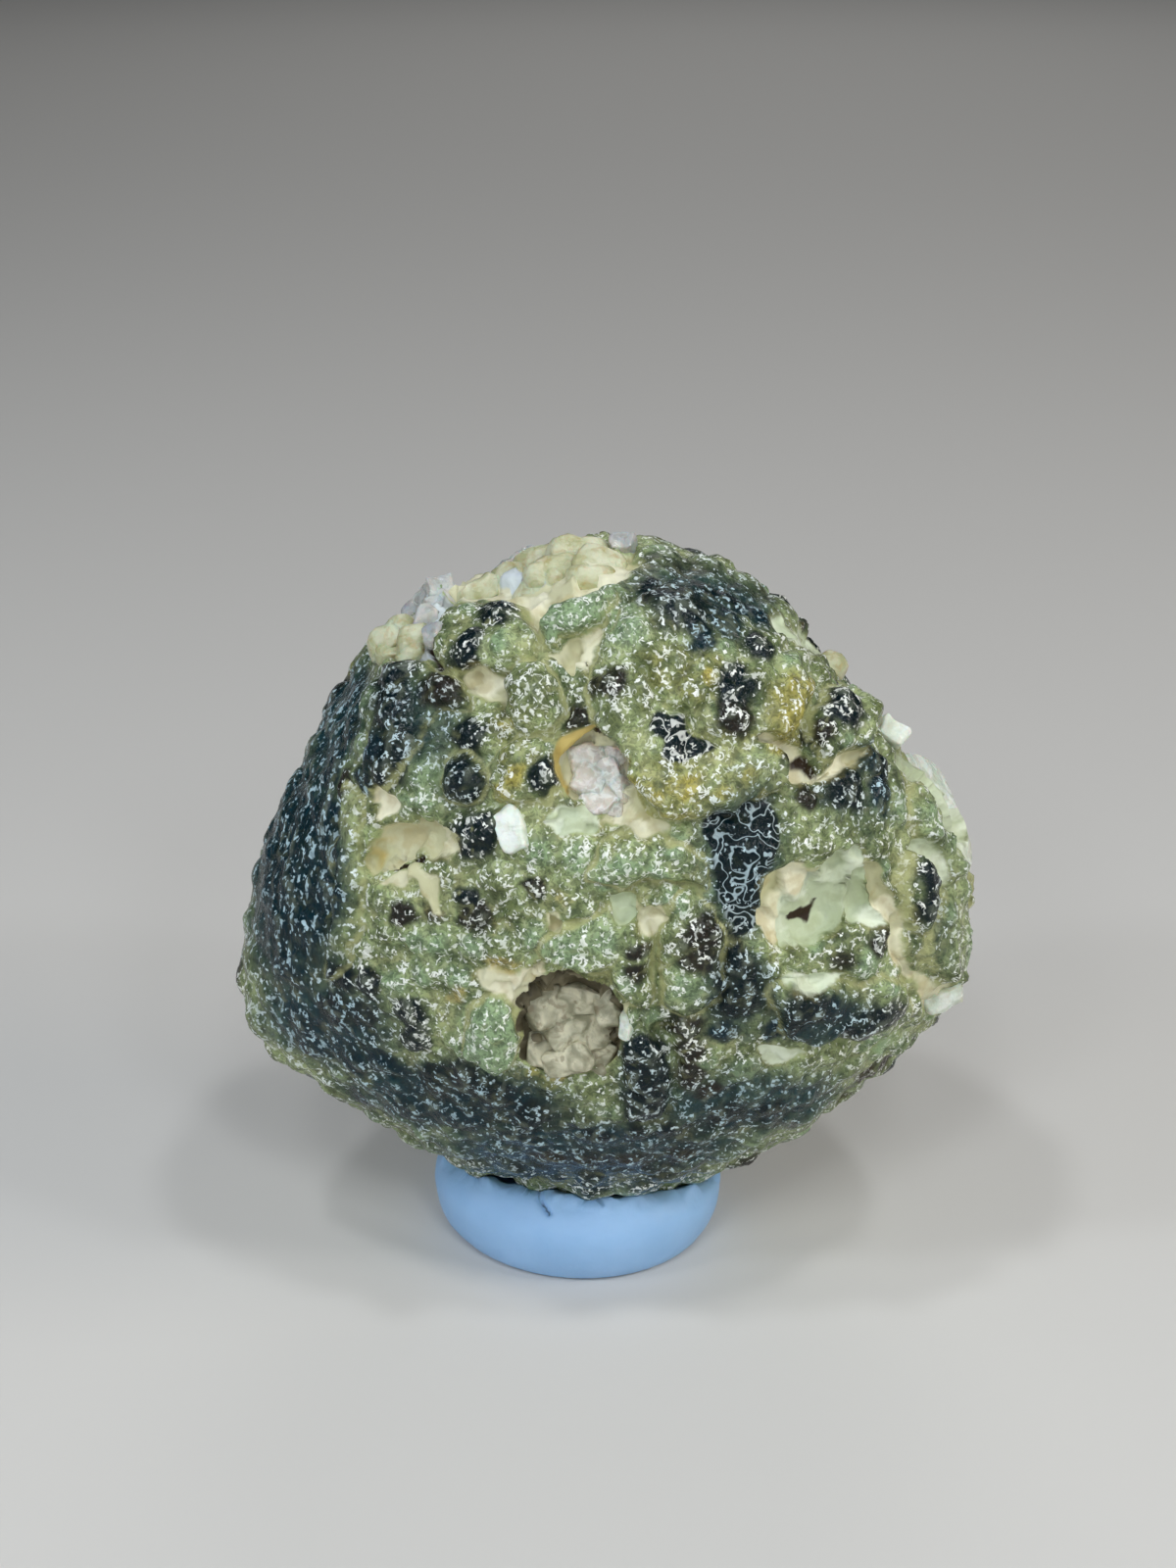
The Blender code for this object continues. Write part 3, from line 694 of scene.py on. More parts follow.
# %% Washes: place in the picture, half width and half height in mm, strength
WASHES = {
    "deep": [(285, 880, 7.0, 16.0, 1.0), (335, 730, 5.0, 9.0, 0.95), (320, 1050, 9.0, 6.0, 0.95),
        (450, 1130, 13.0, 4.6, 1.0), (600, 1185, 18.0, 4.0, 1.0), (770, 1135, 12.0, 4.0, 0.9),
        (730, 600, 9.0, 4.2, 0.85), (840, 1040, 7.0, 3.0, 0.8), (960, 920, 2.5, 7.0, 0.5),
        (420, 740, 5.0, 5.0, 0.75), (760, 880, 4.4, 8.0, 0.8), (870, 810, 5.0, 4.0, 0.5),
        (755, 1020, 4.0, 5.0, 0.8), (660, 1110, 3.0, 5.0, 0.7), (470, 790, 3.0, 3.0, 0.6)],
    "teal": [(292, 900, 5.5, 12.0, 0.8), (398, 735, 3.0, 6.0, 0.7), (350, 1060, 7.0, 5.0, 0.6),
        (470, 1135, 9.0, 3.5, 0.7), (745, 1020, 2.4, 4.5, 0.6), (840, 1040, 6.0, 2.6, 0.6),
        (710, 625, 6.0, 3.5, 0.45), (900, 800, 4.0, 3.5, 0.5), (760, 1150, 7.0, 2.5, 0.5)],
    "dark": [(600, 1210, 14.0, 2.4, 0.8), (690, 1165, 6.0, 2.2, 0.5), (560, 1150, 8.0, 2.0, 0.45),
        (790, 1150, 5.0, 1.5, 0.4), (285, 930, 3.0, 8.0, 0.35)],
    "brown": [(600, 1196, 10.0, 1.8, 0.6), (700, 568, 6.0, 1.2, 0.6), (780, 598, 4.0, 1.4, 0.5),
        (478, 925, 3.0, 2.0, 0.45), (710, 1065, 1.8, 5.0, 0.6), (840, 745, 1.6, 2.4, 0.4),
        (640, 610, 1.6, 2.4, 0.3)],
    "yellow": [(715, 800, 8.0, 3.2, 0.55), (805, 735, 2.4, 4.6, 0.85), (700, 690, 6.0, 4.0, 0.4),
        (545, 1110, 3.4, 1.0, 0.6), (515, 760, 6.0, 5.0, 0.35), (700, 1090, 1.4, 3.0, 0.5),
        (262, 1016, 1.6, 2.0, 0.5), (790, 960, 1.6, 3.0, 0.5), (640, 845, 5.0, 2.4, 0.45),
        (590, 1000, 6.0, 4.0, 0.3), (690, 830, 4.0, 0.5, 0.9), (650, 815, 0.6, 2.0, 0.9),
        (740, 760, 6.0, 2.0, 0.45), (570, 590, 6.0, 2.5, 0.4)],
    "green": [(600, 630, 5.5, 3.4, 0.6), (590, 960, 5.5, 3.0, 0.6), (430, 975, 4.5, 3.4, 0.4),
        (492, 1052, 3.2, 3.0, 0.7), (640, 880, 5.0, 2.6, 0.6), (430, 800, 2.6, 3.6, 0.6),
        (955, 850, 4.0, 5.0, 0.5), (890, 985, 3.5, 2.5, 0.5), (710, 1142, 3.5, 1.4, 0.6),
        (920, 1075, 8.0, 2.0, 0.5), (700, 1010, 2.2, 3.0, 0.5)],
    "ochre": [(580, 752, 1.6, 0.8, 0.5), (519, 845, 1.7, 2.2, 0.6), (374, 872, 1.3, 1.0, 0.6),
        (398, 856, 2.2, 0.7, 0.45), (392, 884, 1.6, 0.4, 0.4), (462, 1024, 1.6, 1.5, 0.65),
        (512, 990, 3.0, 1.0, 0.6), (540, 1002, 1.6, 1.0, 0.5), (580, 914, 1.5, 1.4, 0.4),
        (510, 946, 1.8, 0.9, 0.4), (716, 694, 1.1, 1.2, 0.5), (560, 1103, 2.2, 0.5, 0.6),
        (600, 590, 2.0, 0.8, 0.5), (470, 590, 1.6, 0.7, 0.5), (796, 962, 1.2, 1.6, 0.4),
        (920, 985, 0.9, 1.6, 0.4)],
}
PALE_KINDS = ("olive", "green", "yellow")
for kind, washes in WASHES.items():
    for x, y, half_width, half_height, strength in washes:
        offset = wandering - on_stone((x, y))[0]
        away = np.sqrt((offset @ VIEW_RIGHT / half_width) ** 2 + (offset @ VIEW_UP / half_height) ** 2
                       + (offset @ TO_VIEWER / (1.5 * max(half_width, half_height))) ** 2) / MM
        mask[kind] = np.maximum(mask[kind], strength * (1.0 - ease(0.3, 1.2, away)))
for kind in PALE_KINDS:
    mask[kind] *= 1.0 - 0.75 * mask["deep"]
print("washes:", sum(len(washes) for washes in WASHES.values()))

# %% [markdown]
# ## Blocks and hollows by rule, where the picture doesn't reach
#
# The unseen back is broken up in the same way: blocks about 7 mm wide, some a little higher than
# others, with creases that come and go between them, and a few bare cream hollows.

# %% The back's blocks
BACK_SEED = 29
BACK_BLOCK_SIZE = 6.5 * MM
BACK_BLOCK_LIFT = 0.35 * MM
CREASE_WIDTH, CREASE_DEPTH = 0.30 * MM, 0.45 * MM
BACK_HOLLOWS = 12
BACK_HOLLOW_RADII = (1.6, 4.0)
HOLLOW_DEPTH = 0.28
BACK_WASH_SIZE = 13.0 * MM
BACK_WASHES = {"deep": (-0.05, 1.0), "brown": (0.22, 0.5), "yellow": (0.22, 0.6)}

random = np.random.RandomState(BACK_SEED)
unseen = 1.0 - ease(-0.05, 0.25, facing)
block_middles = []
for index in random.permutation(np.nonzero(facing < 0.2)[0])[:TRIES // 4]:
    if all(np.linalg.norm(base[index] - other) > BACK_BLOCK_SIZE for other in block_middles):
        block_middles.append(base[index])
block_warped = warp(wandering, 4.0 * MM, 1.0 * MM, 17.0)
away = np.array([np.linalg.norm(block_warped - middle, axis=1) for middle in block_middles])
order = np.argsort(away, axis=0)[:2]
first, second = (np.take_along_axis(away, order[i:i + 1], axis=0)[0] for i in (0, 1))
block_edge = (second - first) / 2
lifts = random.uniform(-1.0, 1.0, len(block_middles)) * BACK_BLOCK_LIFT
back_relief = (0.5 * (lifts[order[0]] + lifts[order[1]])
               + 0.5 * (lifts[order[0]] - lifts[order[1]]) * ease(0.0, 0.45 * MM, block_edge)) * unseen
crease = np.exp(-((block_edge / CREASE_WIDTH) ** 2)) * ease(-0.05, 0.3, field(base, 6.0 * MM, 44.0)) * unseen
back_relief -= CREASE_DEPTH * crease
mask["tan"] = np.maximum(mask["tan"], 0.7 * crease)
for index in random.choice(np.nonzero(facing < -0.1)[0], BACK_HOLLOWS):
    radius = random.uniform(*BACK_HOLLOW_RADII) * MM
    touched, share = points_within(base[index], radius)
    rough = share + 0.7 * field(base[touched], 2.4 * MM, 3.0)
    keep_most("cream", touched, 1.0 - ease(0.55, 0.85, rough))
    keep_most("bare", touched, 1.0 - ease(0.6, 0.8, rough))
    back_relief[touched] -= HOLLOW_DEPTH * radius * (1.0 - ease(0.3, 1.0, rough))
wash_places = warp(base, 5.0 * MM, 2.0 * MM, 8.0)
for number, (kind, (start, strength)) in enumerate(BACK_WASHES.items()):
    wash = ease(start, start + 0.3, field(wash_places, BACK_WASH_SIZE, 31.0 + 9.0 * number))
    mask[kind] = np.maximum(mask[kind], strength * wash * unseen)
print("blocks behind:", len(block_middles))

# %% [markdown]
# ## Sculpting the skin
#
# All the moves are added up along the skin's own normals: the humps, blocks, patches and grooves,
# and then, on the new shape, the wrinkles. The same sums give one mask for each colour, which the
# material reads as an attribute, so that shape and colour always agree.

# %% The blocks and their seams
BLOCK_LIFT = 2.0
SEAM_WIDTH = 0.28 * MM
SEAM_DEPTH = 0.55 * MM
SEAM_TINT = (0.05 * MM, 0.45 * MM)
BLOCK_ROUNDING = 2.2
# In these blocks the wrinkles are calmed, and the material paints a net of pale highlight lines.
PAINTED_NET_BLOCKS = ("dark_field", "dark_wedge")
raised = np.zeros(len(base))
sunk = np.zeros(len(base))
for kind, height, edge, outline in BLOCKS.values():
    outline = curve_through(outline, closed=True)
    touched = near(outline)
    depth = outline_depth(wandering_pixel[touched], outline) * PIXEL
    rise = np.clip((depth + 0.1 * MM) / (BLOCK_ROUNDING * edge * MM), 0.0, 1.0)
    rounded = np.sqrt(1.0 - (1.0 - rise) ** 2)
    raised[touched] = np.maximum(raised[touched], BLOCK_LIFT * height * MM * rounded)
    if kind != "dark":
        seam = 1.0 - ease(*SEAM_TINT, np.abs(depth))
        keep_most("valley", touched, seam)
        broken = 0.4 + 0.6 * ease(-0.2, 0.3, field(base[touched], 1.8 * MM, 53.0))
        cut = np.exp(-((depth / SEAM_WIDTH) ** 2))
        sunk[touched] = np.maximum(sunk[touched], SEAM_DEPTH * broken * cut)
    if kind:
        tint = ease(-0.4 * edge * MM, 0.6 * edge * MM, depth)
        keep_most(kind, touched, tint)
for name in PAINTED_NET_BLOCKS:
    outline = curve_through(BLOCKS[name][3], closed=True)
    touched = near(outline)
    depth = outline_depth(wandering_pixel[touched], outline) * PIXEL
    keep_most("maze", touched, ease(-0.3 * MM, 0.4 * MM, depth))
print("the highest block is %.2f mm" % (raised.max() / MM))

# %% The bare patches, each with a pale halo
HALO_WIDTH = 1.1 * MM
HALO_SHARE = 0.5
SHARPEST_COLOUR = 0.5
STEEP_DROP = 2.0 * MM
UNEVEN_SKIN = ("rock", "sugar")
for name, (kind, sink, rim, outline) in PATCHES.items():
    outline = curve_through(outline, closed=True)
    least = BEHIND_THE_EDGE.get(name, 0.0)
    touched = near(outline, least - 0.1)
    depth = outline_depth(wandering_pixel[touched], outline) * PIXEL
    ragged = facing[touched] + 0.25 * field(base[touched], 2.5 * MM, 5.0)
    past_edge = 1.0 - ease(least - 0.05, least + 0.15, ragged)
    depth -= STEEP_DROP * past_edge
    shape = ease(-0.6 * rim * MM, 0.8 * rim * MM, depth) * (0.7 + 0.3 * ease(0.0, 1.8 * MM, depth))
    sunk[touched] = np.where(sink < 0, sunk[touched] + sink * MM * shape,
                             np.maximum(sunk[touched], sink * MM * shape))
    colour_edge = min(SHARPEST_COLOUR, rim) * MM
    colour = ease(-colour_edge, colour_edge, depth)
    keep_most(kind, touched, colour)
    keep_most("tan", touched, HALO_SHARE * ease(-HALO_WIDTH, 0.0, depth))
    if kind not in UNEVEN_SKIN:
        keep_most("bare", touched, colour)
print("bare patches:", len(PATCHES))

# %% The grooves, which come and go unless they are cracks
for kind, width, depth, line in GROOVES.values():
    line = curve_through(line)
    touched = near(line)
    distance, along = line_distance(wandering_pixel[touched], line)
    distance = distance * PIXEL / (width * MM)
    cut = np.exp(-(distance**2))
    if kind != "crack":
        cut *= ease(-0.02, 0.15, np.minimum(along, 1.0 - along))
        cut *= 0.45 + 0.55 * ease(-0.2, 0.3, field(base[touched], 1.5 * MM, 61.0))
    sunk[touched] = np.maximum(sunk[touched], depth * MM * cut)
    keep_most(kind, touched, cut * (1.0 if kind == "crack" else 0.35))
    keep_most("bare", touched, 0.5 * cut)

print("grooves:", len(GROOVES))

# %% The broad relief, added up
INSET = 0.95 * MM
HILL_WIDTH, HILL_HEIGHT = 6.0 * MM, 0.30 * MM
PEBBLE_WIDTH, PEBBLE_HEIGHT = 2.3 * MM, 0.50 * MM
GRIT_WIDTH, GRIT_HEIGHT = 1.3 * MM, 0.16 * MM
bare = mask["bare"]
hills = HILL_HEIGHT * field(base, HILL_WIDTH, 2.0)
pebbles = PEBBLE_HEIGHT * np.abs(field(wandering, PEBBLE_WIDTH, 12.0))
pebbles += GRIT_HEIGHT * np.abs(field(base, GRIT_WIDTH, 15.0))
pebbles *= 1.0 - 0.75 * mask["deep"]
swelling = hump * (1.0 - 0.4 * mask["deep"]) + raised
relief = hills + pebbles * (1.0 - 0.85 * bare) + swelling * (1.0 - 0.8 * bare) + back_relief - sunk - INSET
sculpted = base + base_normal * relief[:, None]
set_points(skin, sculpted)
print("relief from %.2f to %.2f mm" % (relief.min() / MM, relief.max() / MM))

# %% [markdown]
# ## Wrinkles
#
# The wrinkles are 1 to 1.2 mm apart from crest to crest and run in all directions, like the skin
# on cooling milk. A sum of many flat waves of one length, each in its own direction, gives just
# that: noise would mix wide bumps with narrow ones. On the left flank the waves are combed to run
# down the stone. The threads between them, a third as wide, are left to the material.

# %% Waves of one length
WAVE_COUNT = 40
WRINKLE_PITCH = 1.15 * MM
COMBED_PITCH = 0.95 * WRINKLE_PITCH
WRINKLE_HEIGHT = 0.05 * MM
COMBED = 0.78


def ripples(points, pitch, seed, along=None):
    """Ripples a pitch apart in all directions, or combed to run along one."""
    random = np.random.RandomState(seed)
    total = np.zeros(len(points))
    for _ in range(WAVE_COUNT):
        direction = random.normal(size=3)
        if along is not None:
            direction -= COMBED * (direction @ along) * along
        direction /= np.linalg.norm(direction)
        total += np.cos(points @ direction * (2 * math.pi / pitch) + random.uniform(0.0, 2 * math.pi))
    return total / math.sqrt(WAVE_COUNT / 2)


def spread_round(pixel, half_width, half_height):
    """1 at a pixel's place on the stone, falling to 0 at the half width and half height, in mm."""
    offset = base - on_stone(pixel)[0]
    away = np.sqrt((offset @ VIEW_RIGHT / half_width) ** 2 + (offset @ VIEW_UP / half_height) ** 2) / MM
    return (1.0 - ease(0.4, 1.1, away)) * ease(-0.6, -0.2, facing)


# %% Broken faces: their size and tilt in rock and in the bare hollows
GRID_AREA = (0.3 * MM) ** 2
ROCK_FACES = (1.7 * MM, 0.7)
BARE_FACES = (2.0 * MM, 0.20)


def broken_faces(touched, size, tilt, seed):
    """Broken faces about size wide at some of the points: heights for all, and a shade from 0 to 1."""
    random = np.random.RandomState(seed)
    points, height, shade = wandering[touched], np.zeros(len(base)), np.zeros(len(base))
    area = (0.5 * (1.0 + facing[touched])).clip(0.3, 1.0).sum() * GRID_AREA
    faces = points[random.choice(len(points), max(4, int(area / size**2)))]
    slopes = random.normal(size=faces.shape) * tilt
    lift = random.uniform(-0.2, 0.2, len(faces)) * size
    nearest = np.argmin(np.linalg.norm(points[:, None] - faces[None], axis=2), axis=1)
    height[touched] = lift[nearest] + ((points - faces[nearest]) * slopes[nearest]).sum(axis=1)
    shade[touched] = random.uniform(size=len(faces))[nearest]
    return height.clip(-0.4 * size, 0.4 * size), shade


# %% The wrinkles and the broken faces, on the new shape
DOWN_FLANK = VIEW_UP
DOWN_RIGHT = (0.75 * VIEW_RIGHT - 0.66 * VIEW_UP) / np.linalg.norm((0.75, 0.66))
FLANK = ((290, 890), 7.0, 18.0)
LOW_FLANK = ((360, 1080), 9.0, 6.0)
BOX_GAP = 0.02 * MM
bent = warp(base, 2.6 * MM, 0.5 * MM, 21.0)
flank = spread_round(*FLANK)
low_flank = spread_round(*LOW_FLANK) * (1.0 - flank)
free = np.clip(1.0 - flank - low_flank, 0.0, 1.0)
waves = ((free, ripples(bent, WRINKLE_PITCH, 3)), (flank, ripples(bent, COMBED_PITCH, 5, DOWN_FLANK)),
         (low_flank, ripples(bent, COMBED_PITCH, 7, DOWN_RIGHT)))
wave = sum(share * ripple for share, ripple in waves) / np.sqrt(sum(share**2 for share, _ in waves))
uneven = 0.8 + 0.5 * field(base, 3.5 * MM, 71.0)
chipped = np.maximum(mask["rock"], mask["sugar"])
wrinkled = (1.0 - bare) * (1.0 - chipped)
between_knobs = 0.6 * (1.0 - ease(0.02 * MM, 0.14 * MM, hump))
between_knobs = np.maximum(between_knobs, 0.5 * (1.0 - ease(0.02 * MM, 0.10 * MM, pebbles)))
mask["valley"] = np.maximum(between_knobs, mask["valley"])
mask["valley"] *= (1.0 - mask["maze"]) * (1.0 - 0.5 * mask["deep"])
combed = 1.0 + 0.4 * np.maximum(flank, low_flank)
mask["combed"] = flank
calm = (1.0 - 0.7 * mask["maze"]) * (1.0 - 0.6 * mask["valley"])
wrinkle = wave * WRINKLE_HEIGHT * combed * uneven * wrinkled * calm
crown = ease(0.15 * MM, 0.6 * MM, hump) - 0.4
# The crest mask also carries painted light to the material: paler colour and more painted glints on wave
# crests and knob crowns, painted shade in the troughs.
mask["crest"] = 0.5 + 0.22 * (wave + 0.7 * crown) * wrinkled * (1.0 - mask["maze"])
rock_height, rock_shade = broken_faces(np.nonzero(chipped > 0.02)[0], *ROCK_FACES, 19)
hollows = np.maximum(mask["cream"], mask["white"]) * (1.0 - chipped)
bare_height, bare_shade = broken_faces(np.nonzero(hollows > 0.02)[0], *BARE_FACES, 23)
mask["chip"] = np.where(chipped > 0.5, rock_shade, bare_shade)
broken_height = rock_height * chipped + bare_height * hollows
sculpted = sculpted + get_normals(skin) * (wrinkle + broken_height)[:, None]
box_low, box_high = np.array(cad_box[0]) + BOX_GAP, np.array(cad_box[1]) - BOX_GAP
sculpted = np.clip(sculpted, box_low, box_high)
set_points(skin, sculpted)
for name, values in mask.items():
    attribute = skin.data.attributes.new(name, "FLOAT", "POINT")
    attribute.data.foreach_set("value", np.clip(values, 0.0, 1.0).astype(np.float32))
print("the skin is", np.round((sculpted.max(axis=0) - sculpted.min(axis=0)) / MM, 2), "mm")

# %% [markdown]
# ## Chalcedony
#
# The skin is chalcedony, a quartz so fine that it looks waxy. It bends light like quartz, with an
# index of 1.54, and lets a little in, which softens its shadows. The desert has polished it, so
# the crests of its finest wrinkles, 0.4 mm apart, glint as white threads and dots. They are
# narrower than a pixel, so they are drawn a little broader than they are: as a bump that the lamps
# catch, and as painted highlights, pale threads painted into the colour along the same crests. The
# crests are where a smooth noise passes its middle value, which gives thin lines that wind, close on
# themselves and end. On the left flank the same noise is stretched up and down, so that they run
# down it as streaks.

# %% The grains and masks that the skin's finish is mixed from
SMOOTH = {"interpolation_type": "SMOOTHSTEP"}
COLOUR = {"data_type": "RGBA"}
GRAINS = {
    "broad": (5.0, 2.0), "wander": (1.1, 4.0), "speckle": (0.7, 3.0), "crowd": (2.2, 2.0),
    "breaks": (0.42, 1.0), "strength": (0.8, 1.0), "stains": (1.5, 3.0),
}
CREST_PITCH = 0.41 * MM
CREST_WIDTH = 0.15
STREAK_SCALE = (1.0, 1.0, 0.35)
STREAK_TURN = (VIEW_PITCH, 0.0, 0.0)
CREST_NOISE = {"Scale": 1.0 / CREST_PITCH, "Detail": 1.0, "Distortion": 0.7}

chalcedony, tree, shader = new_material("wind_polished_chalcedony")
put = partial(add_node, tree)
place = put("TexCoord").node.outputs["Object"]
level = {name: put("Attribute", attribute_name=name).node.outputs["Fac"] for name in MASKS}
grain = {name: put("TexNoise", {"Vector": place, "Scale": 1.0 / (size * MM), "Detail": detail})
         for name, (size, detail) in GRAINS.items()}
turned = {"Vector": place, "Rotation": STREAK_TURN, "Scale": STREAK_SCALE}
stretched = put("Mapping", turned, vector_type="POINT")
winding, streaks = (put("TexNoise", {"Vector": vector, **CREST_NOISE}) for vector in (place, stretched))
winding = put("Mix", {0: level["combed"], 2: winding, 3: streaks}, data_type="FLOAT")
off_crest = put("Math", {0: put("Math", {0: winding, 1: 0.5}, operation="SUBTRACT")}, operation="ABSOLUTE")
crest_line = put("MapRange", {0: off_crest, 1: CREST_WIDTH, 2: 0.0}, **SMOOTH)
broken = put("Math", {0: level["rock"], 1: level["sugar"]}, operation="MAXIMUM")
smooth_parts = put("Math", {0: level["bare"], 1: broken}, operation="MAXIMUM")
skin_share = put("MapRange", {0: smooth_parts, 1: 0.1, 2: 0.7, 3: 1.0, 4: 0.0}, **SMOOTH)
valley_share = put("MapRange", {0: level["valley"], 1: 0.4, 2: 1.0, 3: 1.0, 4: 0.35}, **SMOOTH)
skin_share = put("Math", {0: skin_share, 1: valley_share}, operation="MULTIPLY")
print("the skin has", len(level), "masks and", len(grain), "grains")

# %% [markdown]
# ## The colours in the skin
#
# Every colour is one tint that fades in where its mask is strong. Noise a millimetre wide is added
# to each mask first, so that the tint's edge wanders, because stains in a stone have no outlines.
# Bare hollows and broken rock change shade from one broken face to the next.

# %% The colours, one over the other
WANDER = 0.85
cream_shade = put("Mix", {0: level["chip"], 6: "#c6c59c", 7: "#efecd0"}, **COLOUR)
white_shade = put("Mix", {0: level["chip"], 6: "#bcc8a4", 7: "#e6edd8"}, **COLOUR)
rock_shade = put("Mix", {0: level["chip"], 6: "#3d3828", 7: "#8a8268"}, **COLOUR)
share = put("MapRange", {0: grain["stains"], 1: 0.48, 2: 0.66, 4: 0.35}, **SMOOTH)
cream_shade = put("Mix", {0: share, 6: cream_shade, 7: "#a9924f"}, **COLOUR)
white_shade = put("Mix", {0: share, 6: white_shade, 7: "#a3ab7c"}, **COLOUR)
sugar_shade = put("Mix", {0: level["chip"], 6: "#a9aba0", 7: "#dbe5e8"}, **COLOUR)
TINTS = {
    "deep": ("#0b343e", 0.0, 1.0),
    "olive": ("#6f7a4e", 0.1, 1.1),
    "green": ("#90a97f", 0.1, 1.05),
    "yellow": ("#b0a756", 0.15, 1.05),
    "brown": ("#26211a", 0.1, 1.0),
    "teal": ("#07252f", 0.05, 1.0),
    "dark": ("#04171d", 0.05, 0.95),
    "tan": ("#b0a76c", 0.25, 1.05),
    "valley": ("#adb07c", 0.25, 1.0),
    "cream": (cream_shade, 0.3, 0.75),
    "white": (white_shade, 0.3, 0.7),
    "ochre": ("#c9b36a", 0.3, 0.95),
    "rock": (rock_shade, 0.35, 0.65),
    "sugar": (sugar_shade, 0.35, 0.65),
    "crack": ("#33261a", 0.3, 0.8),
}
share = put("MapRange", {0: grain["broad"], 1: 0.35, 2: 0.65}, **SMOOTH)
colour = put("Mix", {0: share, 6: "#6d7d52", 7: "#a9b982"}, **COLOUR)
share = put("MapRange", {0: grain["speckle"], 1: 0.45, 2: 0.72, 4: 0.6}, **SMOOTH)
colour = put("Mix", {0: share, 6: colour, 7: "#b3ba8c"}, **COLOUR)
for name, (tint, start, end) in TINTS.items():
    wandered = put("Math", {0: grain["wander"], 1: WANDER, 2: level[name]}, operation="MULTIPLY_ADD")
    share = put("MapRange", {0: wandered, 1: start + 0.5 * WANDER, 2: end + 0.5 * WANDER}, **SMOOTH)
    colour = put("Mix", {0: share, 6: colour, 7: tint}, **COLOUR)
# A dark mottle from the speckle grain, which is the stone's own tone, then painted shade in the troughs of
# the wrinkle waves and a painted highlight on their crests and on the crowns of knobs.
mottle_and_painted_crest_light = (
    (grain["speckle"], 0.52, 0.3, 0.45, "#26301f"), (level["crest"], 0.45, 0.0, 0.35, "#1a2019"),
    (level["crest"], 0.55, 1.0, 0.22, "#b4bfa4"),
)
for source, start, end, strength, shade in mottle_and_painted_crest_light:
    share = put("MapRange", {0: source, 1: start, 2: end, 4: strength}, **SMOOTH)
    share = put("Math", {0: share, 1: skin_share}, operation="MULTIPLY")
    colour = put("Mix", {0: share, 6: colour, 7: shade}, **COLOUR)
print("tints:", list(TINTS))

# %% Painted highlights along the crests, and a net of painted highlight lines in the two smoothest dark blocks
MAZE_PITCH = 1.0 * MM
MAZE_WIDTH = 0.05
# Painted highlights: the glints of the crests are painted into the colour as pale threads, near white, and
# bluish white where the skin is dark blue-green.
PAINTED_GLINT_EDGE = (0.12, 0.04)
PAINTED_GLINT_COLOURS = ("#f4f7ef", "#b2cdd6")
# Painted shade for the troughs between the crest lines.
PAINTED_TROUGH_SHADE = "#101e1b"
flank_dark = put("Math", {0: level["deep"], 1: level["teal"]}, operation="MAXIMUM")
gathering = (
    (level["crest"], 0.1, 0.9, -0.35, 0.3), (grain["crowd"], 0.3, 0.7, -0.2, 0.15),
    (grain["breaks"], 0.3, 0.7, -0.75, 0.75), (level["maze"], 0.0, 1.0, 0.0, -0.1),
    (level["dark"], 0.2, 0.9, 0.0, -0.06), (flank_dark, 0.2, 0.9, 0.0, -0.10),
)
present = 0.0
for source, start, end, least, most in gathering:
    share = put("MapRange", {0: source, 1: start, 2: end, 3: least, 4: most})
    present = put("Math", {0: present, 1: share}, operation="ADD")
# The painted highlight follows the crest lines. It is thinned out where the gathering shares are low, and a
# grain makes it weaker or stronger.
painted_glint = put("MapRange", {0: off_crest, 1: PAINTED_GLINT_EDGE[0], 2: PAINTED_GLINT_EDGE[1]}, **SMOOTH)
present = put("MapRange", {0: present, 1: 0.05, 2: 0.35}, **SMOOTH)
strength = put("MapRange", {0: grain["strength"], 1: 0.35, 2: 0.65, 3: 0.5, 4: 1.0}, **SMOOTH)
for source in (present, skin_share, strength):
    painted_glint = put("Math", {0: painted_glint, 1: source}, operation="MULTIPLY")
# In the blocks of the maze mask, a net of pale lines a millimetre apart is painted as highlight too.
long_wave = put("TexNoise", {"Vector": place, "Scale": 1.0 / MAZE_PITCH, "Detail": 0.0, "Distortion": 0.8})
off_line = put("Math", {0: put("Math", {0: long_wave, 1: 0.5}, operation="SUBTRACT")}, operation="ABSOLUTE")
painted_maze_glint = put("MapRange", {0: off_line, 1: MAZE_WIDTH, 2: 0.4 * MAZE_WIDTH, 4: 0.65}, **SMOOTH)
painted_maze_glint = put("Math", {0: painted_maze_glint, 1: level["maze"]}, operation="MULTIPLY")
painted_glint = put("Math", {0: painted_glint, 1: painted_maze_glint}, operation="MAXIMUM")
# Painted shade: the skin is darkened away from the crest lines, in the troughs of its finest wrinkles.
painted_trough_shade = put("MapRange", {0: crest_line, 1: 0.6, 2: 0.0, 4: 0.38}, **SMOOTH)
painted_trough_shade = put("Math", {0: painted_trough_shade, 1: skin_share}, operation="MULTIPLY")
colour = put("Mix", {0: painted_trough_shade, 6: colour, 7: PAINTED_TROUGH_SHADE}, **COLOUR)
# The painted highlight is bluish white on the dark blue-green flank.
blueness = put("MapRange", {0: flank_dark, 1: 0.2, 2: 0.9})
painted_glint_colour = put("Mix", {0: blueness, 6: PAINTED_GLINT_COLOURS[0], 7: PAINTED_GLINT_COLOURS[1]}, **COLOUR)
colour = put("Mix", {0: painted_glint, 6: colour, 7: painted_glint_colour}, **COLOUR)
tree.links.new(colour, shader.inputs["Base Color"])

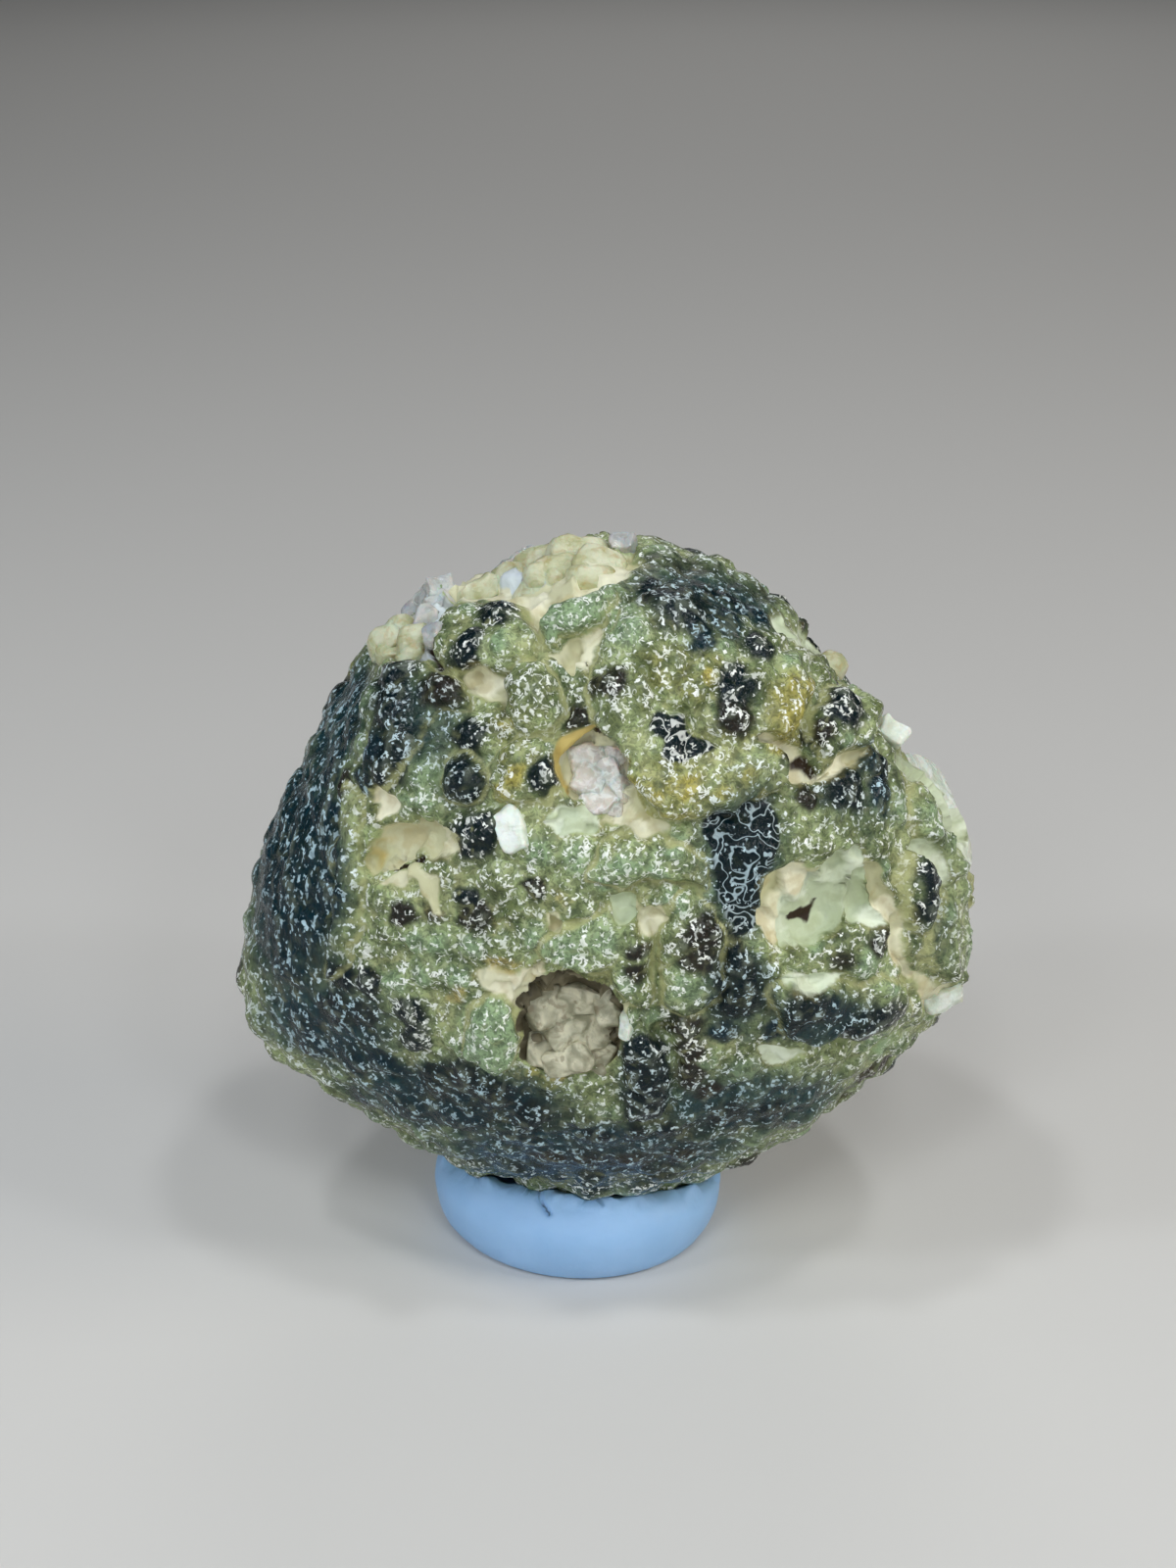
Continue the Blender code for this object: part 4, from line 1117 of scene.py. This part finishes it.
# %% The polish and the fine relief of the skin
SKIN_ROUGHNESS, BARE_ROUGHNESS, BROKEN_ADDS = 0.14, 0.32, 0.3
CREST_HEIGHT = 0.030 * MM
ROUGH_HEIGHT = 0.05 * MM
polish = put("MapRange", {0: level["bare"], 3: SKIN_ROUGHNESS, 4: BARE_ROUGHNESS})
polish = put("Math", {0: polish, 1: put("MapRange", {0: broken, 4: BROKEN_ADDS})}, operation="ADD")
tree.links.new(polish, shader.inputs["Roughness"])
shader.inputs["IOR"].default_value = 1.54
shader.inputs["Specular IOR Level"].default_value = 0.19
shader.inputs["Subsurface Weight"].default_value = 0.10
shader.inputs["Subsurface Radius"].default_value = (1.0, 1.0, 0.7)
shader.inputs["Subsurface Scale"].default_value = 0.8 * MM
relief_share = put("Math", {0: crest_line, 1: skin_share}, operation="MULTIPLY")
rough = put("MapRange", {0: grain["speckle"], 1: 0.3, 2: 0.7, 4: ROUGH_HEIGHT / CREST_HEIGHT})
fine_relief = put("Math", {0: relief_share, 1: rough}, operation="ADD")
normal = put("Bump", {"Strength": 1.0, "Distance": CREST_HEIGHT, "Height": fine_relief})
tree.links.new(normal, shader.inputs["Normal"])
skin.data.materials.append(chalcedony)
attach(skin, "root")
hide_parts("nodule")
print("the skin's material has", len(tree.nodes), "nodes")

# %% [markdown]
# ## Crystals and flakes set into the stone
#
# The small cavity is packed with milky quartz in rounded blocks about two millimetres wide. More
# of it, with sharper edges, shows where the top corner has broken off, with layers of cream
# chalcedony beside it, and a few pale flakes stand up at the right edge. The window is filled with
# broken blocks of the rock that the stone grew in. Each is the same block, modelled once: a cube
# whose edges are cut and rounded. A copy is squeezed, made uneven and sunk into the skin.

# %% One block of quartz
BLOCK_CUTS = 3
BLOCK_BEVEL = 0.17
UNEVEN = 0.20
UNEVEN_LIMIT = 1.5
BALL_SHARE = 0.62
LOOSE_TURN = 0.15
LEAN_FORWARD = 0.8

skin_tree = BVHTree.FromPolygons(sculpted.tolist(), [p.vertices[:] for p in skin.data.polygons])
bpy.ops.object.select_all(action="DESELECT")
bpy.ops.mesh.primitive_cube_add(size=1.0)
pattern_block = bpy.context.object
pattern_block.name = "pattern_block"
bpy.ops.object.mode_set(mode="EDIT")
bpy.ops.mesh.select_all(action="SELECT")
bpy.ops.mesh.bevel(offset=BLOCK_BEVEL, segments=2, profile=0.6)
bpy.ops.mesh.select_all(action="SELECT")
bpy.ops.mesh.subdivide(number_cuts=BLOCK_CUTS)
bpy.ops.object.mode_set(mode="OBJECT")
print("a block has", len(pattern_block.data.vertices), "points")


# %% Copies of the block, set into the skin
def set_in(name, places, roundness, seed):
    """Blocks at pixels: (x, y, width, height, depth in mm, lift as a share of depth, turn in degrees)."""
    random = np.random.RandomState(seed)
    made = []
    for x, y, width, height, depth, lift, turn in places:
        place, normal = on_stone((x, y), skin_tree)
        block = pattern_block.copy()
        block.data = pattern_block.data.copy()
        scene.collection.objects.link(block)
        shape = get_points(block)
        ball_of_it = shape / np.linalg.norm(shape, axis=1, keepdims=True) * BALL_SHARE
        shape = shape * (1.0 - roundness) + ball_of_it * roundness
        shape = shape * np.array((width, height, depth)) * MM
        shape = warp(shape, 1.1 * MM, UNEVEN * min(width, height, UNEVEN_LIMIT) * MM, random.uniform(0, 50))
        outward = normal + LEAN_FORWARD * TO_VIEWER
        outward /= np.linalg.norm(outward)
        across = np.cross(VIEW_UP, outward)
        across /= np.linalg.norm(across)
        upward = np.cross(outward, across)
        angle = math.radians(turn) + random.uniform(-LOOSE_TURN, LOOSE_TURN)
        right = math.cos(angle) * across + math.sin(angle) * upward
        top = np.cross(outward, right)
        shape = place + outward * lift * depth * MM + shape @ np.array((right, top, outward))
        set_points(block, np.clip(shape, box_low, box_high))
        made.append(block)
    return finish_piece(name, made)


def finish_piece(name, made):
    """Joins copies into one piece that rides with the stone, with its faces turned outwards."""
    bpy.ops.object.select_all(action="DESELECT")
    for block in made:
        block.select_set(True)
    piece = bpy.context.view_layer.objects.active = made[0]
    bpy.ops.object.join()
    piece.name = piece.data.name = name
    bpy.ops.object.mode_set(mode="EDIT")
    bpy.ops.mesh.select_all(action="SELECT")
    bpy.ops.mesh.normals_make_consistent(inside=False)
    bpy.ops.object.mode_set(mode="OBJECT")
    piece.data.shade_smooth()
    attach(piece, "root")
    print(name, "is", len(made), "blocks")
    return piece


VUG_BLOCKS = [
    (599, 774, 2.5, 2.3, 1.8, 0.0, 10), (622, 772, 2.2, 2.0, 1.7, 0.05, 35),
    (601, 797, 2.3, 2.4, 1.8, 0.1, 60), (620, 793, 2.4, 2.4, 2.2, 0.2, 20),
    (632, 806, 1.4, 2.0, 1.4, 0.0, 10), (612, 818, 2.5, 2.0, 1.8, 0.1, 40),
    (627, 822, 1.5, 1.3, 1.3, 0.0, 75),
]
CORNER_BLOCKS = [
    (424, 622, 2.6, 2.0, 1.8, -0.5, 20), (436, 606, 2.3, 2.2, 1.8, -0.5, 50),
    (450, 597, 2.2, 1.7, 1.6, -0.5, 10), (434, 633, 2.0, 1.7, 1.6, -0.35, 75),
    (448, 614, 1.8, 1.8, 1.5, -0.35, 35), (441, 645, 1.6, 1.7, 1.3, -0.35, 0),
    (517, 566, 2.4, 1.8, 1.6, -0.25, 15), (533, 563, 2.2, 1.8, 1.6, -0.25, 50),
    (542, 571, 1.8, 1.6, 1.4, -0.25, 80), (528, 576, 2.0, 1.4, 1.3, -0.2, 30),
    (636, 556, 1.8, 1.4, 1.2, 0.0, 10),
]
CREAM_BLOCKS = [
    (394, 655, 2.8, 2.2, 1.8, -0.1, 30), (409, 649, 2.6, 2.3, 2.0, -0.1, 60),
    (423, 655, 2.2, 2.2, 1.8, -0.1, 15), (402, 668, 2.6, 1.5, 1.5, 0.0, 5),
    (420, 669, 2.2, 1.4, 1.5, 0.0, 40), (848, 680, 2.0, 2.2, 1.6, 0.0, 0),
    (470, 586, 5.0, 2.2, 1.8, -0.4, 20), (560, 566, 5.2, 2.4, 1.8, -0.4, 12),
    (592, 562, 4.2, 2.4, 1.8, -0.4, -10), (572, 582, 4.6, 2.2, 1.7, -0.35, 18),
    (612, 572, 3.4, 2.8, 1.9, -0.4, -25), (546, 600, 3.8, 2.2, 1.6, -0.35, 40),
    (604, 590, 3.0, 1.8, 1.5, -0.35, 10), (490, 604, 3.2, 1.8, 1.5, -0.35, 25),
    (510, 590, 3.6, 2.0, 1.5, -0.4, 10),
]
WINDOW_BLOCKS = [
    (558, 1026, 3.4, 2.9, 1.9, 0.0, 22), (592, 1017, 3.4, 2.1, 1.7, 0.0, -14),
    (620, 1030, 1.7, 2.6, 1.5, 0.0, 12), (573, 1053, 3.2, 2.4, 1.9, 0.15, -32),
    (603, 1048, 3.0, 2.6, 1.9, 0.1, 18), (551, 1068, 1.9, 3.0, 1.5, 0.0, -12),
    (580, 1080, 3.6, 2.0, 1.7, 0.1, 12), (610, 1076, 2.6, 2.4, 1.7, 0.1, -24),
]
FLAKES = [
    (520, 846, 2.0, 3.0, 1.0, -0.1, 20), (907, 749, 2.5, 1.6, 1.2, 0.3, -30),
    (640, 1044, 0.9, 2.2, 0.8, -0.1, 0), (962, 1018, 3.0, 1.8, 1.3, 0.0, 30),
]
vug_quartz = set_in("vug_quartz", VUG_BLOCKS, 0.35, 3)
corner_quartz = set_in("corner_quartz", CORNER_BLOCKS, 0.15, 5)
cream_layers = set_in("cream_layers", CREAM_BLOCKS, 0.7, 8)
pale_flakes = set_in("pale_flakes", FLAKES, 0.2, 9)
window_rock = set_in("window_rock", WINDOW_BLOCKS, 0.05, 12)

# %% [markdown]
# ## The pale lip at the right edge
#
# Behind the last green knobs on the right a lip of white chalcedony curls out, smooth as a shell
# and 2 mm thick. It is the same block again, rounded to a ball, drawn out and bent along a line
# that follows the stone's edge.

# %% The lip
LIP_LINE = [(920, 772), (945, 772), (968, 792), (984, 826), (995, 866), (996, 890)]
LIP_WIDTH = 4.6 * MM
LIP_THICKNESS = 2.0 * MM
LIP_LIFT = -0.15 * MM
LIP_SMOOTHING = 24
lip_curve = curve_through(LIP_LINE)
lip_marks = [on_stone(pixel, skin_tree) for pixel in lip_curve]
lip_places, lip_normals = (np.array([mark[i] for mark in lip_marks]) for i in (0, 1))
for _ in range(LIP_SMOOTHING):
    lip_places[1:-1] = (lip_places[:-2] + 2 * lip_places[1:-1] + lip_places[2:]) / 4
    lip_normals[1:-1] = (lip_normals[:-2] + 2 * lip_normals[1:-1] + lip_normals[2:]) / 4
lip = pattern_block.copy()
lip.data = pattern_block.data.copy()
scene.collection.objects.link(lip)
shape = get_points(lip)
shape /= np.linalg.norm(shape, axis=1, keepdims=True)
along = (0.5 + 0.5 * shape[:, 0]) * (len(lip_curve) - 1)
steps = np.arange(len(lip_curve))
middle, outward = (np.stack([np.interp(along, steps, values[:, i]) for i in range(3)], axis=1)
                   for values in (lip_places, lip_normals))
outward /= np.linalg.norm(outward, axis=1, keepdims=True)
run = lip_places[-1] - lip_places[0]
sideways = np.cross(outward, run / np.linalg.norm(run))
shape = (middle + sideways * (0.5 * LIP_WIDTH * shape[:, 1:2])
         + outward * (LIP_LIFT + 0.5 * LIP_THICKNESS * shape[:, 2:]))
set_points(lip, np.clip(warp(shape, 2.0 * MM, 0.25 * MM, 31.0), box_low, box_high))
rounding = lip.modifiers.new("rounding", "SUBSURF")
rounding.levels = rounding.render_levels = 1
apply_modifiers(lip)
pale_lip = finish_piece("pale_lip", [lip])
bpy.data.objects.remove(pattern_block)

# %% [markdown]
# ## Milky quartz and pale chalcedony
#
# Vug quartz is cloudy: tiny cracks and gas bubbles scatter the light inside it, so it is white
# with a hint of warmth, and clay stains its joints. The quartz of the broken corner is clearer and
# cooler. The cream layers and flakes are the same chalcedony as the bare hollows, and the rock in
# the window is weathered, dull and brown. All five are cloudy stones, mixed in the same way: two
# shades in soft clouds, a stain, a little glow under the surface and fine bumps.

# %% The finish of a cloudy stone
STAIN_SIZE = 0.9 * MM
FINE_SIZE = 0.35 * MM
FINE_HEIGHT = 0.10 * MM
SOFT_CLOUDS = {"Detail": 3.0, "Distortion": 0.6}


def cloudy_stone(name, cloud_size, shades, stain, stain_share, polish, glow, clear):
    """Two shades in clouds, a stain, roughness from and to, and how much glows and is clear."""
    material, tree, shader = new_material(name)
    put = partial(add_node, tree)
    place = put("TexCoord").node.outputs["Object"]
    clouds, stains, fine = (put("TexNoise", {"Vector": place, "Scale": 1.0 / size, **SOFT_CLOUDS})
                            for size in (cloud_size * MM, STAIN_SIZE, FINE_SIZE))
    share = put("MapRange", {0: clouds, 1: 0.35, 2: 0.68}, **SMOOTH)
    colour = put("Mix", {0: share, 6: shades[0], 7: shades[1]}, **COLOUR)
    share = put("MapRange", {0: stains, 1: 0.54, 2: 0.66, 4: stain_share}, **SMOOTH)
    colour = put("Mix", {0: share, 6: colour, 7: stain}, **COLOUR)
    tree.links.new(colour, shader.inputs["Base Color"])
    roughness = put("MapRange", {0: clouds, 1: 0.3, 2: 0.7, 3: polish[0], 4: polish[1]})
    tree.links.new(roughness, shader.inputs["Roughness"])
    normal = put("Bump", {"Strength": 1.0, "Distance": FINE_HEIGHT, "Height": fine})
    tree.links.new(normal, shader.inputs["Normal"])
    shader.inputs["IOR"].default_value = 1.544
    shader.inputs["Subsurface Weight"].default_value = glow
    shader.inputs["Subsurface Scale"].default_value = 0.6 * MM
    shader.inputs["Transmission Weight"].default_value = clear
    return material


# %% The cloudy stones: pieces, cloud size in mm, shades, stain and its share, roughness, glow, clear
CLOUDY_STONES = {
    "milky_quartz": ((vug_quartz,), 0.9, ("#c6beb0", "#f0eeea"), "#7d6443", 0.5, (0.15, 0.4), 0.3, 0.0),
    "broken_corner_quartz": ((corner_quartz,), 1.2, ("#bfc4c4", "#dcdad0"), "#8d7b58", 0.25, (0.08, 0.3),
                             0.3, 0.25),
    "cream_layer_chalcedony": ((cream_layers,), 1.6, ("#b0b186", "#d0d2b4"), "#a8873f", 0.35, (0.2, 0.4),
                               0.25, 0.0),
    "pale_flake_chalcedony": ((pale_flakes, pale_lip), 1.5, ("#c9d4c2", "#edf3ea"), "#b59a62", 0.15,
                              (0.18, 0.35), 0.3, 0.0),
    "weathered_host_rock": ((window_rock,), 1.3, ("#8c8a70", "#d6d2b6"), "#6a5636", 0.5, (0.45, 0.7),
                            0.05, 0.0),
}
for name, (pieces, *finish) in CLOUDY_STONES.items():
    stone = cloudy_stone(name, *finish)
    for piece in pieces:
        piece.data.materials.clear()
        piece.data.materials.append(stone)
        print(piece.name, "is of", stone.name)

# %% [markdown]
# ## The putty
#
# The stone stands in a thumb of reusable putty, rolled to a ball, put down and squeezed flat by the
# stone. It is matt, soft and even, with faint dents from fingers and one nick in its front. The
# frame's putty is copied, remeshed fine, and its hollow is pulled up against the wrinkled skin, so
# that it fits as real putty does.

# %% Squeeze the putty against the stone
PUTTY_VOXEL = 0.24 * MM
PRESS_REACH = 1.4 * MM
PRESS_GAP = 0.04 * MM
NICK_LINE = [(549, 1217), (553, 1227), (560, 1238)]
NICK_WIDTH = 0.15 * MM
NICK_DEPTH = 0.8 * MM
DENT_DEPTH, PRINT_DEPTH = 0.18 * MM, 0.02 * MM
FOOT_HEIGHTS = (0.3 * MM, 1.2 * MM)
putty_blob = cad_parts["putty"].copy()
putty_blob.data = putty_blob.data.copy()
putty_blob.parent = None
putty_blob.name = putty_blob.data.name = "putty_blob"
scene.collection.objects.link(putty_blob)
select_only(putty_blob)
bpy.ops.object.mode_set(mode="EDIT")
bpy.ops.mesh.select_all(action="SELECT")
bpy.ops.mesh.remove_doubles(threshold=0.001 * MM)
bpy.ops.object.mode_set(mode="OBJECT")
fine = putty_blob.modifiers.new("fine", "REMESH")
fine.mode = "VOXEL"
fine.voxel_size = PUTTY_VOXEL
soften = putty_blob.modifiers.new("soften", "SMOOTH")
soften.factor = 0.5
soften.iterations = 14
apply_modifiers(putty_blob)

shape = get_points(putty_blob)
outward = get_normals(putty_blob)
dents = DENT_DEPTH * field(shape, 6.0 * MM, 80.0) + PRINT_DEPTH * field(shape, 1.5 * MM, 84.0)
foot_free = ease(*FOOT_HEIGHTS, shape[:, 2])
shape += outward * (dents * foot_free)[:, None]
distance = line_distance(pixels_of(shape), curve_through(NICK_LINE))[0]
in_nick = np.exp(-((distance * PIXEL / NICK_WIDTH) ** 2)) * ease(0.1, 0.4, outward @ TO_VIEWER)
shape -= outward * (NICK_DEPTH * in_nick)[:, None]
nick_mask = putty_blob.data.attributes.new("nick", "FLOAT", "POINT")
nick_mask.data.foreach_set("value", in_nick.astype(np.float32))
for index, point in enumerate(shape):
    nearest, normal, _, distance_to_skin = skin_tree.find_nearest(Vector(point))
    if distance_to_skin < PRESS_REACH and Vector(outward[index]).dot(normal) < -0.4:
        pull = 1.0 - ease(0.5 * PRESS_REACH, PRESS_REACH, distance_to_skin)
        shape[index] += (np.array(nearest + normal * PRESS_GAP) - point) * pull
putty_low, putty_high = (np.array(corner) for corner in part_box("putty"))
shape = np.clip(shape, putty_low, np.array((putty_high[0], putty_high[1], 1.0)))
set_points(putty_blob, shape)
putty_blob.data.shade_smooth()
print("the putty has", len(shape), "points")

# %% [markdown]
# ## The finish of the putty
#
# Reusable putty is a rubber filled with chalk: matt, with a soft sheen where fingers pressed it
# smooth. Its colour is a light grey blue that hardly varies, and it is darker in the nick, where
# little light gets in.

# %% The material of the putty
reusable_putty, tree, shader = new_material("reusable_blue_putty")
put = partial(add_node, tree)
place = put("TexCoord").node.outputs["Object"]
mottle, sheen, pores = (put("TexNoise", {"Vector": place, "Scale": 1.0 / (size * MM), "Detail": 3.0})
                        for size in (3.0, 1.2, 0.5))
colour = put("Mix", {0: mottle, 6: "#8cb7e1", 7: "#9fc7ef"}, **COLOUR)
nick_level = put("Attribute", attribute_name="nick").node.outputs["Fac"]
nick_share = put("MapRange", {0: nick_level, 1: 0.4, 2: 0.9, 4: 0.9})
colour = put("Mix", {0: nick_share, 6: colour, 7: "#27435a"}, **COLOUR)
tree.links.new(colour, shader.inputs["Base Color"])
tree.links.new(put("MapRange", {0: sheen, 1: 0.3, 2: 0.7, 3: 0.42, 4: 0.6}), shader.inputs["Roughness"])
shader.inputs["Subsurface Weight"].default_value = 0.05
shader.inputs["Subsurface Scale"].default_value = 0.5 * MM
normal = put("Bump", {"Strength": 1.0, "Distance": 0.03 * MM, "Height": pores})
tree.links.new(normal, shader.inputs["Normal"])
putty_blob.data.materials.clear()
putty_blob.data.materials.append(reusable_putty)
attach(putty_blob, "root")
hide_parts("putty")
print("the putty's material has", len(tree.nodes), "nodes")
